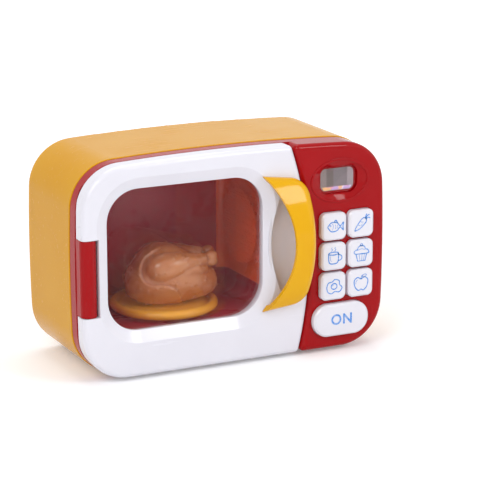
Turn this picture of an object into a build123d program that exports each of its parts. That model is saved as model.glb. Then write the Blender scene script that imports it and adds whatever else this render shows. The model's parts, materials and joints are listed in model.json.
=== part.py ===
from build123d import *
import math
import os

# A child's pretend microwave oven, at real size, in millimetres.
# X runs to the right along the front, Y towards the back, Z up.
# The origin is the middle of the footprint, on the surface the toy stands on.

# Driving sizes of the whole toy
body_width = 254.0
body_height = 166.0
side_bow = 2.5
top_crown = 4.5
body_corner = 36.0
foot_height = 2.5
shell_depth = 88.0
bezel_depth = 10.0
door_depth = 14.0
handle_reach = 20.0

# Walls and clearances shared by the mouldings
shell_wall = 2.4
bezel_wall = 2.4
door_wall = 2.4
liner_wall = 2.0
moving_gap = 0.4
seat_gap = 0.3
running_gap = 0.05
fixed_gap = 0.02
hole_spare = 1.0
overrun = 1.0

# Depths of the main faces, from back to front
back_y = (shell_depth + bezel_depth + door_depth + handle_reach) / 2
inner_back_y = back_y - shell_wall
seam_y = back_y - shell_depth
land_y = seam_y - bezel_depth
land_back_y = land_y + bezel_wall
face_y = land_y - door_depth
face_back_y = face_y + bezel_wall
base_z = foot_height
top_z = base_z + body_height
shoulder_z = top_z - top_crown
middle_z = (base_z + shoulder_z) / 2
half_width = body_width / 2
inner_base_z = base_z + shell_wall

# The curved line between the door and the control panel
panel_top_width = 82.0
panel_middle_width = 65.5
panel_bottom_width = 75.0
divider_corner = 4.0
divider_top_x = half_width - panel_top_width
divider_middle_x = half_width - panel_middle_width
divider_bottom_x = half_width - panel_bottom_width

# Heights of the turntable drive under the cavity, from the base up
gearbox_room = 6.5
gearbox_plate_thickness = 2.4
gear_foot_height = 4.6
gear_face_width = 4.0
gear_step = 6.0
gear_head_room = 2.5
floor_boss_height = 4.0
gearbox_plate_z = base_z + gearbox_room
gearbox_top_z = gearbox_plate_z + gearbox_plate_thickness
lower_gear_z = gearbox_top_z + gear_foot_height
upper_gear_z = lower_gear_z + gear_step
liner_under_z = upper_gear_z + gear_face_width + gear_head_room + floor_boss_height

# Cooking cavity, measured inside its walls
cavity_left_room = 15.0
cavity_right_room = 23.5
cavity_roof_room = 16.5
cavity_back_room = 7.6
cavity_left_corner = 24.0
cavity_right_corner = 8.0
cavity_left_x = cavity_left_room - half_width
cavity_right_x = divider_middle_x - cavity_right_room
cavity_floor_z = liner_under_z + liner_wall
cavity_roof_z = top_z - cavity_roof_room
cavity_back_y = inner_back_y - cavity_back_room
cavity_width = cavity_right_x - cavity_left_x
cavity_height = cavity_roof_z - cavity_floor_z
cavity_middle_x = (cavity_left_x + cavity_right_x) / 2
cavity_middle_z = (cavity_floor_z + cavity_roof_z) / 2
liner_back_y = cavity_back_y + liner_wall

# Door window, its sloping surround and the pane
window_left_room = 22.0
window_right_room = 39.0
window_high_room = 22.0
window_rise = 4.0
window_corner = 25.0
window_bevel = 9.0
window_bevel_depth = 4.0
window_rim_depth = 7.0
pane_thickness = 2.0
window_left_x = window_left_room - half_width
window_right_x = divider_middle_x - window_right_room
window_low_z = cavity_floor_z + window_rise
window_high_z = top_z - window_high_room
window_width = window_right_x - window_left_x
window_height = window_high_z - window_low_z
window_middle_x = (window_left_x + window_right_x) / 2
window_middle_z = (window_low_z + window_high_z) / 2

# Door hinge: one upright steel pin through a barrel on the bezel
hinge_back_set = 0.4
barrel_recess = 0.6
barrel_side_inset = 1.1
barrel_swing = 1.9
barrel_length = 58.2
barrel_drop = 0.75
lug_height = 10.0
pin_radius = 1.5
barrel_radius = door_depth / 2 - barrel_recess
hinge_sweep = barrel_radius + barrel_swing
hinge_x = barrel_radius + barrel_side_inset - half_width
hinge_y = land_y - door_depth / 2 - hinge_back_set
barrel_low_z = middle_z - barrel_drop - barrel_length / 2
barrel_high_z = barrel_low_z + barrel_length
notch_low_z = barrel_low_z - moving_gap
notch_high_z = barrel_high_z + moving_gap
notch_right_x = hinge_x + barrel_radius + moving_gap
notch_height = notch_high_z - notch_low_z
notch_middle_z = (notch_low_z + notch_high_z) / 2

# Door handle, seen from the front: a crescent beside the divider, and the scoop behind it
handle_low_room = 38.0
handle_high_room = 22.5
handle_tip_room = 41.5
handle_side_room = 6.0
handle_bow_room = 3.3
handle_inner_room = 22.0
handle_screw_end = 8.0
handle_screw_high_room = 5.9
handle_screw_low_room = 9.4
handle_screw_high_share = 0.4
handle_screw_low_share = 0.2
handle_low_z = base_z + handle_low_room
handle_high_z = top_z - handle_high_room
handle_length = handle_high_z - handle_low_z
handle_middle_z = (handle_low_z + handle_high_z) / 2
handle_tip_x = divider_middle_x - handle_tip_room
handle_side_x = divider_middle_x - handle_side_room
handle_bow_x = divider_middle_x - handle_bow_room
handle_inner_x = divider_middle_x - handle_inner_room
handle_screw_high_bend = handle_screw_high_share * (divider_middle_x - divider_top_x)
handle_screw_low_bend = handle_screw_low_share * (divider_middle_x - divider_bottom_x)
handle_screw_high_x = divider_middle_x - handle_screw_high_bend - handle_screw_high_room
handle_screw_low_x = divider_middle_x - handle_screw_low_bend - handle_screw_low_room
handle_screw_places = [
    (handle_screw_high_x, handle_high_z - handle_screw_end),
    (handle_screw_low_x, handle_low_z + handle_screw_end),
]

# Turntable and its drive, with the plate as large as the depth of the cavity allows
plate_wall_gap = 0.8
plate_back_gap = 2.0
table_shift = 1.0
gear_module = 0.8
small_teeth = 10
large_teeth = 40
plate_radius = (cavity_back_y - land_back_y) / 2 - plate_wall_gap
table_x = cavity_middle_x + table_shift
table_y = cavity_back_y - plate_back_gap - plate_radius
small_pitch_radius = gear_module * small_teeth / 2
large_pitch_radius = gear_module * large_teeth / 2
gear_centres = small_pitch_radius + large_pitch_radius
gear_root_share = 1.25
gear_tip_share = 0.85
tooth_root_share = 0.27
tooth_tip_share = 0.1
half_small_tooth = 180.0 / small_teeth
idler_x = table_x + gear_centres
motor_x = idler_x + gear_centres

# Columns of the keys, which fill the width of the control panel
keys_left_room = 7.2
keys_right_room = 13.0
key_land = 2.1
keys_left_x = divider_middle_x + keys_left_room
keys_right_x = half_width - keys_right_room
keys_width = keys_right_x - keys_left_x
keys_middle_x = (keys_left_x + keys_right_x) / 2
key_width = (keys_width - key_land) / 2

# Start button and display of the control panel, a little wider than the keys
start_spread = 2.5
start_shift = 4.75
start_height = 25.8
start_corner = 12.4
start_rise = 24.3
dish_spread = 1.7
dish_slope = 6.9
dish_height = 31.0
dish_depth = 2.5
dish_lip_width = 1.6
dish_lip_height = 0.6
display_shift = 5.05
display_height = 21.4
display_corner = 7.5
display_drop = 32.1
start_width = keys_width + start_spread
start_x = keys_middle_x - start_shift
start_z = base_z + start_rise
dish_width = keys_width + dish_spread
display_width = dish_width - 2 * dish_slope
display_x = keys_middle_x - display_shift
display_z = top_z - display_drop

# Rows of the keys, which fill the height between start button and display
key_rows = 3
key_corner = 4.6
key_gap = 0.3
key_flange = 0.8
key_proud = 5.0
key_travel = 2.0
keys_above_start = 3.6
keys_below_display = 8.6
keys_low_z = start_z + start_height / 2 + keys_above_start
keys_high_z = display_z - dish_height / 2 - keys_below_display
key_row_pitch = (keys_high_z - keys_low_z + key_land) / key_rows
key_column_pitch = key_width + key_land
key_height = key_row_pitch - key_land
keys_middle_z = (keys_low_z + keys_high_z) / 2
key_places = [
    (keys_middle_x + column * key_column_pitch / 2, keys_high_z - key_height / 2 - row * key_row_pitch)
    for row in range(key_rows)
    for column in (-1, 1)
]

# Long screws that join the shell to the bezel, as places on the front view
joint_reach = 32.0
post_radius = 3.6
tube_radius = 5.0
screw_radius = 1.5
pilot_radius = 1.2
screw_head_radius = 2.9
screw_head_height = 2.0
screw_seat = 4.0
screw_bite = 12.0
high_left_post_room = 47.0
high_left_post_drop = 9.1
high_right_post_room = 25.0
high_right_post_drop = 7.9
low_left_post_room = 35.0
low_right_post_room = 7.0
low_post_rise = 16.5
side_post_room = 8.8
joint_y = seam_y + joint_reach
side_post_x = half_width - side_post_room
side_post_z = keys_middle_z - key_row_pitch / 2
land_post_places = [
    (high_left_post_room - half_width, top_z - high_left_post_drop),
    (divider_top_x - high_right_post_room, top_z - high_right_post_drop),
    (low_left_post_room - half_width, base_z + low_post_rise),
    (divider_bottom_x - low_right_post_room, base_z + low_post_rise),
]
post_places = land_post_places + [(side_post_x, side_post_z)]

# Battery bay in the back
cell_radius = 7.1
cell_length = 50.0
cell_count = 3
cell_pitch = 15.2
contact_room = 3.4
tray_wall = 1.6
tray_depth = 16.6
tray_side_room = 43.0
tray_rise = 47.5
tray_ledge = 2.2
tray_flange = 3.0
cover_tab_radius = 4.6
bay_corner = 3.0
tray_x = half_width - tray_side_room
tray_z = base_z + tray_rise
tray_width = cell_count * cell_pitch + tray_wall / 2
tray_height = cell_length + 2 * contact_room
cover_width = tray_width + 2 * tray_ledge
cover_height = tray_height + 2 * tray_ledge
cover_tab_z = tray_z + cover_height / 2

# Power switch in the back, above the battery bay
switch_rise = 19.4
switch_slot_width = 11.0
switch_slot_height = 5.2
switch_slot_corner = 1.0
switch_travel = 5.0
switch_x = tray_x
switch_z = cover_tab_z + switch_rise


def front_plane(y):
    """Plane facing the viewer at depth y; a positive extrusion comes forward."""
    return Plane.XZ.offset(-y)


def body_face(y, inset=0.0):
    """The toy's front outline: bowed sides, crowned top, flat base, round corners."""
    side_x = half_width - inset
    corner_x = side_x - side_bow
    low_z = base_z + inset
    with BuildSketch(front_plane(y)) as face:
        with BuildLine():
            left = ThreePointArc((-corner_x, low_z), (-side_x, middle_z), (-corner_x, shoulder_z - inset))
            crown = ThreePointArc(left @ 1, (0, top_z - inset), (corner_x, shoulder_z - inset))
            right = ThreePointArc(crown @ 1, (side_x, middle_z), (corner_x, low_z))
            Line(right @ 1, left @ 0)
        make_face()
        fillet(face.vertices(), radius=body_corner - inset)
    return face.sketch


def divided_face(y, inset, side, gap):
    """The outline on one side of the divider line: side is -1 for the door, 1 for the panel."""
    reach = half_width + body_corner
    shift = side * gap
    low_z = base_z - overrun
    high_z = top_z + overrun
    with BuildSketch(front_plane(y)) as face:
        add(body_face(y, inset))
        with BuildLine():
            edge = ThreePointArc(
                (divider_bottom_x + shift, low_z),
                (divider_middle_x + shift, middle_z),
                (divider_top_x + shift, high_z),
            )
            Polyline(edge @ 1, (side * reach, high_z), (side * reach, low_z), edge @ 0)
        make_face(mode=Mode.INTERSECT)
        corners = face.vertices().sort_by(Axis.X, reverse=(side < 0))[:2]
        fillet(corners, radius=divider_corner)
    return face.sketch


def rounded_face(plane, x, z, width, height, corner):
    """A rounded rectangle at a place of the given plane."""
    with BuildSketch(plane) as face:
        with Locations((x, z)):
            RectangleRounded(width, height, corner)
    return face.sketch


def window_face(y, margin):
    """The window outline at depth y, grown by a margin."""
    return rounded_face(
        front_plane(y),
        window_middle_x,
        window_middle_z,
        window_width + 2 * margin,
        window_height + 2 * margin,
        window_corner + margin,
    )


def cavity_face(y, margin):
    """The cavity outline at depth y, grown by a margin: wide corners left, tight ones right."""
    with BuildSketch(front_plane(y)) as face:
        with Locations((cavity_middle_x, cavity_middle_z)):
            Rectangle(cavity_width + 2 * margin, cavity_height + 2 * margin)
        corners = face.vertices().sort_by(Axis.X)
        fillet(corners[:2], radius=cavity_left_corner + margin)
        right_corners = face.vertices().sort_by(Axis.X)[-2:]
        fillet(right_corners, radius=cavity_right_corner + margin)
    return face.sketch


def bay_face(y, margin):
    """The battery cover's outline with the round tab for its screw, grown by a margin."""
    with BuildSketch(front_plane(y)) as face:
        with Locations((tray_x, tray_z)):
            RectangleRounded(cover_width + 2 * margin, cover_height + 2 * margin, bay_corner + margin)
        with Locations((tray_x, cover_tab_z)):
            Circle(cover_tab_radius + margin)
    return face.sketch


def gear_face(z, teeth, radius):
    """A spur gear outline with straight-sided teeth, its bore left to the caller."""
    root = radius - gear_root_share * gear_module
    tip = radius + gear_tip_share * gear_module
    pitch = 2 * math.pi / teeth
    corners = (
        (-tooth_root_share, root),
        (-tooth_tip_share, tip),
        (tooth_tip_share, tip),
        (tooth_root_share, root),
    )
    points = []
    for tooth in range(teeth):
        middle = tooth * pitch
        for turn, reach in corners:
            angle = middle + turn * pitch
            points.append((reach * math.cos(angle), reach * math.sin(angle)))
    with BuildSketch(Plane.XY.offset(z)) as face:
        with BuildLine():
            Polyline(*points, close=True)
        make_face()
    return face.sketch


def finish_piece(name, piece):
    """Label a finished piece and write it to its own file."""
    piece.label = name
    export_step(piece, f"parts/{name}.step")


os.makedirs("parts", exist_ok=True)

# Rear shell: the yellow tub that forms the back, top, bottom and sides
shell_back_round = 6.0
shell_lip_round = 1.0
vent_width = 4.0
vent_height = 30.0
vent_pitch = 10.0
vent_count = 11
vent_drop = 56.5
vent_z = top_z - vent_drop
foot_radius = 7.0
foot_plug_radius = 3.0
foot_plug_proud = 1.0
foot_side_room = 49.0
foot_front_room = 8.0
foot_back_room = 14.0
foot_spread_x = body_width - 2 * foot_side_room
foot_spread_y = shell_depth - foot_front_room - foot_back_room
foot_middle_y = (seam_y + foot_front_room + back_y - foot_back_room) / 2
with BuildPart() as rear_shell:
    extrude(body_face(back_y), amount=shell_depth)
    back_edges = rear_shell.faces().sort_by(Axis.Y)[-1].edges()
    fillet(back_edges, radius=shell_back_round)
    lip_edges = rear_shell.faces().sort_by(Axis.Y)[0].edges()
    fillet(lip_edges, radius=shell_lip_round)
    extrude(body_face(inner_back_y, shell_wall), amount=shell_depth, mode=Mode.SUBTRACT)
    inner_edges = rear_shell.faces().filter_by(Axis.Y).sort_by(Axis.Y)[-2].edges()
    fillet(inner_edges, radius=shell_back_round - shell_wall)
    with BuildSketch(front_plane(inner_back_y + overrun / 2)):
        with Locations(post_places):
            Circle(tube_radius)
    extrude(amount=inner_back_y + overrun / 2 - joint_y)
    with BuildSketch(front_plane(back_y + overrun)):
        with Locations(post_places):
            Circle(screw_head_radius + seat_gap)
    extrude(amount=back_y + overrun - joint_y - screw_seat, mode=Mode.SUBTRACT)
    with BuildSketch(front_plane(back_y)):
        with Locations(post_places):
            Circle(screw_radius + seat_gap)
    extrude(amount=back_y - joint_y + overrun, mode=Mode.SUBTRACT)
    with BuildSketch(front_plane(back_y + overrun)):
        with Locations((cavity_middle_x, vent_z)):
            with GridLocations(vent_pitch, vent_pitch, vent_count, 1):
                SlotOverall(vent_height, vent_width, rotation=90)
    extrude(amount=shell_wall + 2 * overrun, mode=Mode.SUBTRACT)
    bay_plane = front_plane(back_y + overrun)
    extrude(bay_face(back_y + overrun, 0), amount=shell_wall + 2 * overrun, mode=Mode.SUBTRACT)
    slot = rounded_face(
        bay_plane, switch_x, switch_z, switch_slot_width, switch_slot_height, switch_slot_corner
    )
    extrude(slot, amount=shell_wall + 2 * overrun, mode=Mode.SUBTRACT)
    with BuildSketch(Plane.XY.offset(base_z - overrun)):
        with Locations((0, foot_middle_y)):
            with GridLocations(foot_spread_x, foot_spread_y, 2, 2):
                Circle(foot_plug_radius + fixed_gap)
    extrude(amount=shell_wall + 2 * overrun, mode=Mode.SUBTRACT)
finish_piece("rear_shell", rear_shell.part)

# Rubber feet: four discs, each with a plug through the shell's floor
with BuildPart() as feet:
    with Locations((0, foot_middle_y)):
        with GridLocations(foot_spread_x, foot_spread_y, 2, 2):
            Cylinder(foot_radius, foot_height, align=(Align.CENTER, Align.CENTER, Align.MIN))
            Cylinder(
                foot_plug_radius,
                inner_base_z + foot_plug_proud,
                align=(Align.CENTER, Align.CENTER, Align.MIN),
            )
finish_piece("rubber_feet", feet.part)

# Housing screws: five screws at the bottom of the deep holes in the back
with BuildPart() as housing_screws:
    with BuildSketch(front_plane(joint_y + screw_seat + screw_head_height)):
        with Locations(post_places):
            Circle(screw_head_radius)
    extrude(amount=screw_head_height)
    with BuildSketch(front_plane(joint_y + screw_seat)):
        with Locations(post_places):
            Circle(pilot_radius - fixed_gap)
    extrude(amount=screw_seat + screw_bite)
finish_piece("housing_screws", housing_screws.part)

# Front bezel: the red moulding with the door landing, hinge barrel and control panel
panel_round = 4.0
panel_edge_inset = 0.6
display_pad_margin = 2.5
display_pad_depth = 4.0
display_pad_corner = 17.0
board_post_radius = 3.4
board_depth = 9.2
board_y = face_y + board_depth
board_thickness = 1.6
board_left_reach = 5.5
board_right_room = 8.0
board_left_x = divider_middle_x - board_left_reach
board_right_x = half_width - board_right_room
board_post_left_inset = 6.5
board_post_left_rise = 9.3
board_post_right_inset = 3.2
board_post_right_rise = 25.5
board_post_upper_left_inset = 10.5
board_post_upper_right_inset = 6.0
board_post_over_keys = 5.2
board_post_places = [
    (board_left_x + board_post_left_inset, base_z + board_post_left_rise),
    (board_right_x - board_post_right_inset, base_z + board_post_right_rise),
    (board_left_x + board_post_upper_left_inset, keys_high_z + board_post_over_keys),
    (board_right_x - board_post_upper_right_inset, keys_high_z + board_post_over_keys),
]
board_screw_radius = 1.2
board_screw_length = 6.0
catch_side_room = 8.5
catch_rise = 4.75
catch_x = divider_middle_x - catch_side_room
catch_z = middle_z + catch_rise
catch_slot_width = 4.2
catch_slot_height = 12.0
catch_slot_corner = 1.0
barrel_web_x = -half_width + 2 * panel_edge_inset
with BuildPart() as front_bezel:
    extrude(body_face(seam_y, panel_edge_inset), amount=bezel_depth)
    extrude(divided_face(land_y, panel_edge_inset, 1, 0), amount=door_depth)
    panel_edges = front_bezel.faces().sort_by(Axis.Y)[0].edges()
    fillet(panel_edges, radius=panel_round)
    extrude(
        body_face(seam_y, panel_edge_inset + bezel_wall),
        amount=bezel_depth - bezel_wall,
        mode=Mode.SUBTRACT,
    )
    extrude(
        divided_face(seam_y, panel_edge_inset + bezel_wall, 1, bezel_wall),
        amount=seam_y - face_back_y,
        mode=Mode.SUBTRACT,
    )
    extrude(cavity_face(land_back_y + overrun, 0), amount=bezel_wall + 2 * overrun, mode=Mode.SUBTRACT)
    # Posts for the long screws: four stand on the landing and one behind the panel's skin
    with BuildSketch(front_plane(joint_y)):
        with Locations(land_post_places):
            Circle(post_radius)
    extrude(amount=joint_y - land_back_y + bezel_wall / 2)
    with BuildSketch(front_plane(joint_y)):
        with Locations((side_post_x, side_post_z)):
            Circle(post_radius)
    extrude(amount=joint_y - face_back_y + bezel_wall / 2)
    with BuildSketch(front_plane(joint_y)):
        with Locations(post_places):
            Circle(pilot_radius)
    extrude(amount=screw_bite + hole_spare, mode=Mode.SUBTRACT)
    # Thick pad round the display, and the posts of the circuit board
    pad_width = dish_width + 2 * display_pad_margin
    pad_height = dish_height + 2 * display_pad_margin
    pad_plane = front_plane(face_back_y + display_pad_depth - bezel_wall)
    extrude(
        rounded_face(pad_plane, display_x, display_z, pad_width, pad_height, display_pad_corner),
        amount=display_pad_depth - bezel_wall / 2,
    )
    with BuildSketch(front_plane(board_y)):
        with Locations(board_post_places):
            Circle(board_post_radius)
    extrude(amount=board_y - face_back_y + bezel_wall / 2)
    with BuildSketch(front_plane(board_y)):
        with Locations(board_post_places):
            Circle(board_screw_radius)
    extrude(amount=board_screw_length, mode=Mode.SUBTRACT)
    # Low raised lip round the display dish
    with BuildSketch(front_plane(face_y + bezel_wall / 2)):
        with Locations((display_x, display_z)):
            Ellipse(dish_width / 2 + dish_lip_width, dish_height / 2 + dish_lip_width)
            Ellipse(dish_width / 2, dish_height / 2, mode=Mode.SUBTRACT)
    extrude(amount=dish_lip_height + bezel_wall / 2)
    # Sloping dish and rounded window of the display
    with BuildSketch(front_plane(face_y)):
        with Locations((display_x, display_z)):
            Ellipse(dish_width / 2, dish_height / 2)
    with BuildSketch(front_plane(face_y + dish_depth)):
        with Locations((display_x, display_z)):
            RectangleRounded(display_width, display_height, display_corner)
    loft(mode=Mode.SUBTRACT)
    with BuildSketch(front_plane(face_y + display_pad_depth + overrun)):
        with Locations((display_x, display_z)):
            RectangleRounded(display_width, display_height, display_corner)
    extrude(amount=display_pad_depth, mode=Mode.SUBTRACT)
    # Key and start button holes
    with BuildSketch(front_plane(face_back_y + overrun)):
        with Locations(key_places):
            RectangleRounded(key_width + 2 * key_gap, key_height + 2 * key_gap, key_corner + key_gap)
        with Locations((start_x, start_z)):
            RectangleRounded(start_width + 2 * key_gap, start_height + 2 * key_gap, start_corner + key_gap)
    extrude(amount=bezel_wall + 2 * overrun, mode=Mode.SUBTRACT)
    # Hinge barrel with its web, and the shallow groove that clears the turning door edge
    with BuildSketch(Plane.XY.offset(base_z + body_corner / 2)):
        with Locations((hinge_x, hinge_y)):
            Circle(hinge_sweep + moving_gap)
    extrude(amount=body_height - body_corner, mode=Mode.SUBTRACT)
    with BuildSketch(Plane.XY.offset(barrel_low_z)):
        with Locations((hinge_x, hinge_y)):
            Circle(barrel_radius)
        with BuildLine():
            Polyline(
                (barrel_web_x, hinge_y),
                (hinge_x + barrel_radius, hinge_y),
                (hinge_x + barrel_radius, land_back_y),
                (barrel_web_x, land_back_y),
                close=True,
            )
        make_face()
    extrude(amount=barrel_high_z - barrel_low_z)
    with BuildSketch(Plane.XY.offset(barrel_low_z - overrun)):
        with Locations((hinge_x, hinge_y)):
            Circle(pin_radius + fixed_gap)
    extrude(amount=barrel_high_z - barrel_low_z + 2 * overrun, mode=Mode.SUBTRACT)
    # Slot in the landing for the door's catch tab
    catch_plane = front_plane(land_back_y + overrun)
    catch_slot = rounded_face(
        catch_plane, catch_x, catch_z, catch_slot_width, catch_slot_height, catch_slot_corner
    )
    extrude(catch_slot, amount=bezel_wall + 2 * overrun, mode=Mode.SUBTRACT)
finish_piece("front_bezel", front_bezel.part)

# Hinge pin: a steel rod through the barrel and into the door's two lugs
pin_length = barrel_high_z - barrel_low_z + 2 * lug_height - 2 * moving_gap
with BuildPart() as hinge_pin:
    with BuildSketch(Plane.XY.offset((barrel_low_z + barrel_high_z - pin_length) / 2)):
        with Locations((hinge_x, hinge_y)):
            Circle(pin_radius)
    extrude(amount=pin_length)
finish_piece("hinge_pin", hinge_pin.part)

# Layout of the gearbox plate below the cavity floor, on four screwed posts
motor_radius = 10.0
gearbox_margin = 20.0
gearbox_post_radius = 3.4
gearbox_post_inset = 4.4
gearbox_pilot_radius = 1.1
gearbox_screw_bite = 9.0
gearbox_low_x = table_x - gearbox_margin
gearbox_high_x = motor_x + motor_radius + gearbox_post_inset
gearbox_width = gearbox_high_x - gearbox_low_x
gearbox_middle_x = (gearbox_low_x + gearbox_high_x) / 2
gearbox_post_x = gearbox_width - 2 * gearbox_post_inset
gearbox_post_y = 2 * (large_pitch_radius + gear_module + gearbox_post_radius + moving_gap)
gearbox_height = gearbox_post_y + 2 * gearbox_post_inset


def gearbox_post_face(z, radius):
    """Four circles at the gearbox posts."""
    with BuildSketch(Plane.XY.offset(z)) as face:
        with Locations((gearbox_middle_x, table_y)):
            with GridLocations(gearbox_post_x, gearbox_post_y, 2, 2):
                Circle(radius)
    return face.sketch


# Cavity liner: the dark red box of the oven, open in front and on the right above its kerb
liner_flange = 3.4
kerb_height = 15.0
side_panel_thickness = 2.0
side_corner_round = 8.0
shaft_radius = 3.0
floor_boss_radius = 6.0
idler_pin_radius = 1.5
kerb_z = cavity_floor_z + kerb_height
side_panel_top_z = cavity_roof_z - cavity_right_corner
side_cut_left_x = cavity_right_x - side_corner_round
with BuildPart() as cavity_liner:
    extrude(cavity_face(liner_back_y, liner_wall), amount=liner_back_y - land_back_y)
    extrude(cavity_face(land_back_y + liner_wall, liner_flange), amount=liner_wall)
    extrude(cavity_face(cavity_back_y, 0), amount=cavity_back_y - land_back_y + overrun, mode=Mode.SUBTRACT)
    # Bosses under the floor for the turntable shaft and the idler pin
    with BuildSketch(Plane.XY.offset(liner_under_z - floor_boss_height)):
        with Locations((table_x, table_y), (idler_x, table_y)):
            Circle(floor_boss_radius)
    extrude(amount=floor_boss_height + liner_wall / 2)
    with BuildSketch(Plane.XY.offset(liner_under_z - floor_boss_height - overrun)):
        with Locations((table_x, table_y)):
            Circle(shaft_radius + running_gap)
    extrude(amount=floor_boss_height + liner_wall + 2 * overrun, mode=Mode.SUBTRACT)
    with BuildSketch(Plane.XY.offset(liner_under_z - floor_boss_height - overrun)):
        with Locations((idler_x, table_y)):
            Circle(idler_pin_radius + fixed_gap)
    extrude(amount=floor_boss_height + overrun, mode=Mode.SUBTRACT)
    # Posts that carry the gearbox plate, with their pilot holes
    extrude(
        gearbox_post_face(gearbox_top_z, gearbox_post_radius),
        amount=liner_under_z + liner_wall / 2 - gearbox_top_z,
    )
    extrude(
        gearbox_post_face(gearbox_top_z, gearbox_pilot_radius),
        amount=gearbox_screw_bite + hole_spare,
        mode=Mode.SUBTRACT,
    )
    # Cut away the right wall above the kerb, where the side panel sits
    with BuildSketch(Plane.XY.offset(kerb_z)):
        with BuildLine():
            Polyline(
                (side_cut_left_x, liner_back_y + overrun),
                (side_cut_left_x, cavity_back_y - overrun),
                (cavity_right_x - overrun, cavity_back_y - side_corner_round),
                (cavity_right_x - overrun, land_back_y + liner_wall),
                (cavity_right_x + liner_flange + overrun, land_back_y + liner_wall),
                (cavity_right_x + liner_flange + overrun, liner_back_y + overrun),
                close=True,
            )
        make_face()
    extrude(amount=side_panel_top_z - kerb_z, mode=Mode.SUBTRACT)
finish_piece("cavity_liner", cavity_liner.part)

# Side panel: the orange right wall with its rounded rear corner and the round speaker grille
grille_room = 5.8
grille_lift_share = 0.377
speaker_rim_room = 3.5
side_outer_x = cavity_right_x + side_panel_thickness
side_front_y = land_back_y + liner_wall
side_bend_y = cavity_back_y - side_corner_round
side_height = side_panel_top_z - kerb_z
grille_radius = (side_bend_y - side_front_y) / 2 - grille_room
speaker_radius = grille_radius - speaker_rim_room
speaker_y = side_bend_y - grille_radius
speaker_z = kerb_z + grille_radius + grille_lift_share * (side_height - 2 * grille_radius)
grille_ring = 1.6
grille_ring_proud = 1.0
grille_hole = 1.7
grille_pitch = 7.0
grille_row_share = math.sqrt(3) / 2
speaker_collar = 1.5
speaker_collar_height = 3.0
grille_places = []
grille_rings = int((grille_radius - 2 * grille_ring) / grille_pitch)
grille_reach = grille_rings * grille_pitch + grille_ring / 2
for across in range(-grille_rings, grille_rings + 1):
    for along in range(-grille_rings, grille_rings + 1):
        hole_y = (along + across / 2) * grille_pitch
        hole_z = across * grille_pitch * grille_row_share
        if math.hypot(hole_y, hole_z) < grille_reach:
            grille_places.append((speaker_y + hole_y, speaker_z + hole_z))
with BuildPart() as side_panel:
    with BuildSketch(Plane.XY.offset(kerb_z)):
        with BuildLine():
            inner_run = Line((cavity_right_x, side_front_y), (cavity_right_x, side_bend_y))
            inner_bend = TangentArc(inner_run @ 1, (side_cut_left_x, cavity_back_y), tangent=inner_run % 1)
            step = Line(inner_bend @ 1, (side_cut_left_x, cavity_back_y + side_panel_thickness))
            outer_bend = TangentArc(step @ 1, (side_outer_x, side_bend_y), tangent=(1, 0))
            outer_run = Line(outer_bend @ 1, (side_outer_x, side_front_y))
            Line(outer_run @ 1, inner_run @ 0)
        make_face()
    extrude(amount=side_height)
    with BuildSketch(Plane.YZ.offset(cavity_right_x - grille_ring_proud)):
        with Locations((speaker_y, speaker_z)):
            Circle(grille_radius)
            Circle(grille_radius - grille_ring, mode=Mode.SUBTRACT)
    extrude(amount=grille_ring_proud + side_panel_thickness / 2)
    with BuildSketch(Plane.YZ.offset(cavity_right_x + side_panel_thickness / 2)):
        with Locations((speaker_y, speaker_z)):
            Circle(speaker_radius + fixed_gap + speaker_collar)
            Circle(speaker_radius + fixed_gap, mode=Mode.SUBTRACT)
    extrude(amount=side_panel_thickness / 2 + speaker_collar_height)
    with BuildSketch(Plane.YZ.offset(cavity_right_x - overrun)):
        with Locations(grille_places):
            RegularPolygon(grille_hole, 6)
    extrude(amount=side_panel_thickness + 2 * overrun, mode=Mode.SUBTRACT)
finish_piece("side_panel", side_panel.part)

# Speaker behind the grille: pressed basket with its magnet, and the paper cone inside it
basket_wall = 1.0
basket_rim = 4.0
basket_rim_thickness = 2.0
basket_depth = 11.0
basket_neck_radius = 13.0
magnet_radius = 16.0
magnet_depth = 7.0
coil_radius = 8.0
speaker_centre = (side_outer_x, speaker_y, speaker_z)
speaker_profile_plane = Plane(origin=speaker_centre, x_dir=(0, 1, 0), z_dir=(0, 0, 1))
speaker_axis = Axis(speaker_centre, (1, 0, 0))
with BuildPart() as speaker_basket:
    with BuildSketch(speaker_profile_plane):
        with BuildLine():
            Polyline(
                (speaker_radius - basket_rim, 0),
                (speaker_radius, 0),
                (speaker_radius, -basket_rim_thickness),
                (speaker_radius - basket_rim + 2 * basket_wall, -basket_rim_thickness),
                (basket_neck_radius + basket_wall, -basket_depth),
                (magnet_radius, -basket_depth),
                (magnet_radius, -basket_depth - magnet_depth),
                (0, -basket_depth - magnet_depth),
                (0, -basket_depth + basket_wall),
                (basket_neck_radius, -basket_depth + basket_wall),
                (speaker_radius - basket_rim, -basket_rim_thickness),
                close=True,
            )
        make_face()
    revolve(axis=speaker_axis)
finish_piece("speaker_basket", speaker_basket.part)

with BuildPart() as speaker_cone:
    with BuildSketch(speaker_profile_plane):
        with BuildLine():
            Polyline(
                (speaker_radius - basket_rim - seat_gap, -basket_wall),
                (speaker_radius - basket_rim - seat_gap, -2 * basket_wall),
                (coil_radius, -basket_depth + 2 * basket_wall),
                (0, -basket_depth + 2 * basket_wall),
                (0, -basket_depth + 3 * basket_wall),
                (coil_radius + basket_wall, -basket_depth + 3 * basket_wall),
                close=True,
            )
        make_face()
    revolve(axis=speaker_axis)
finish_piece("speaker_cone", speaker_cone.part)

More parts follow.
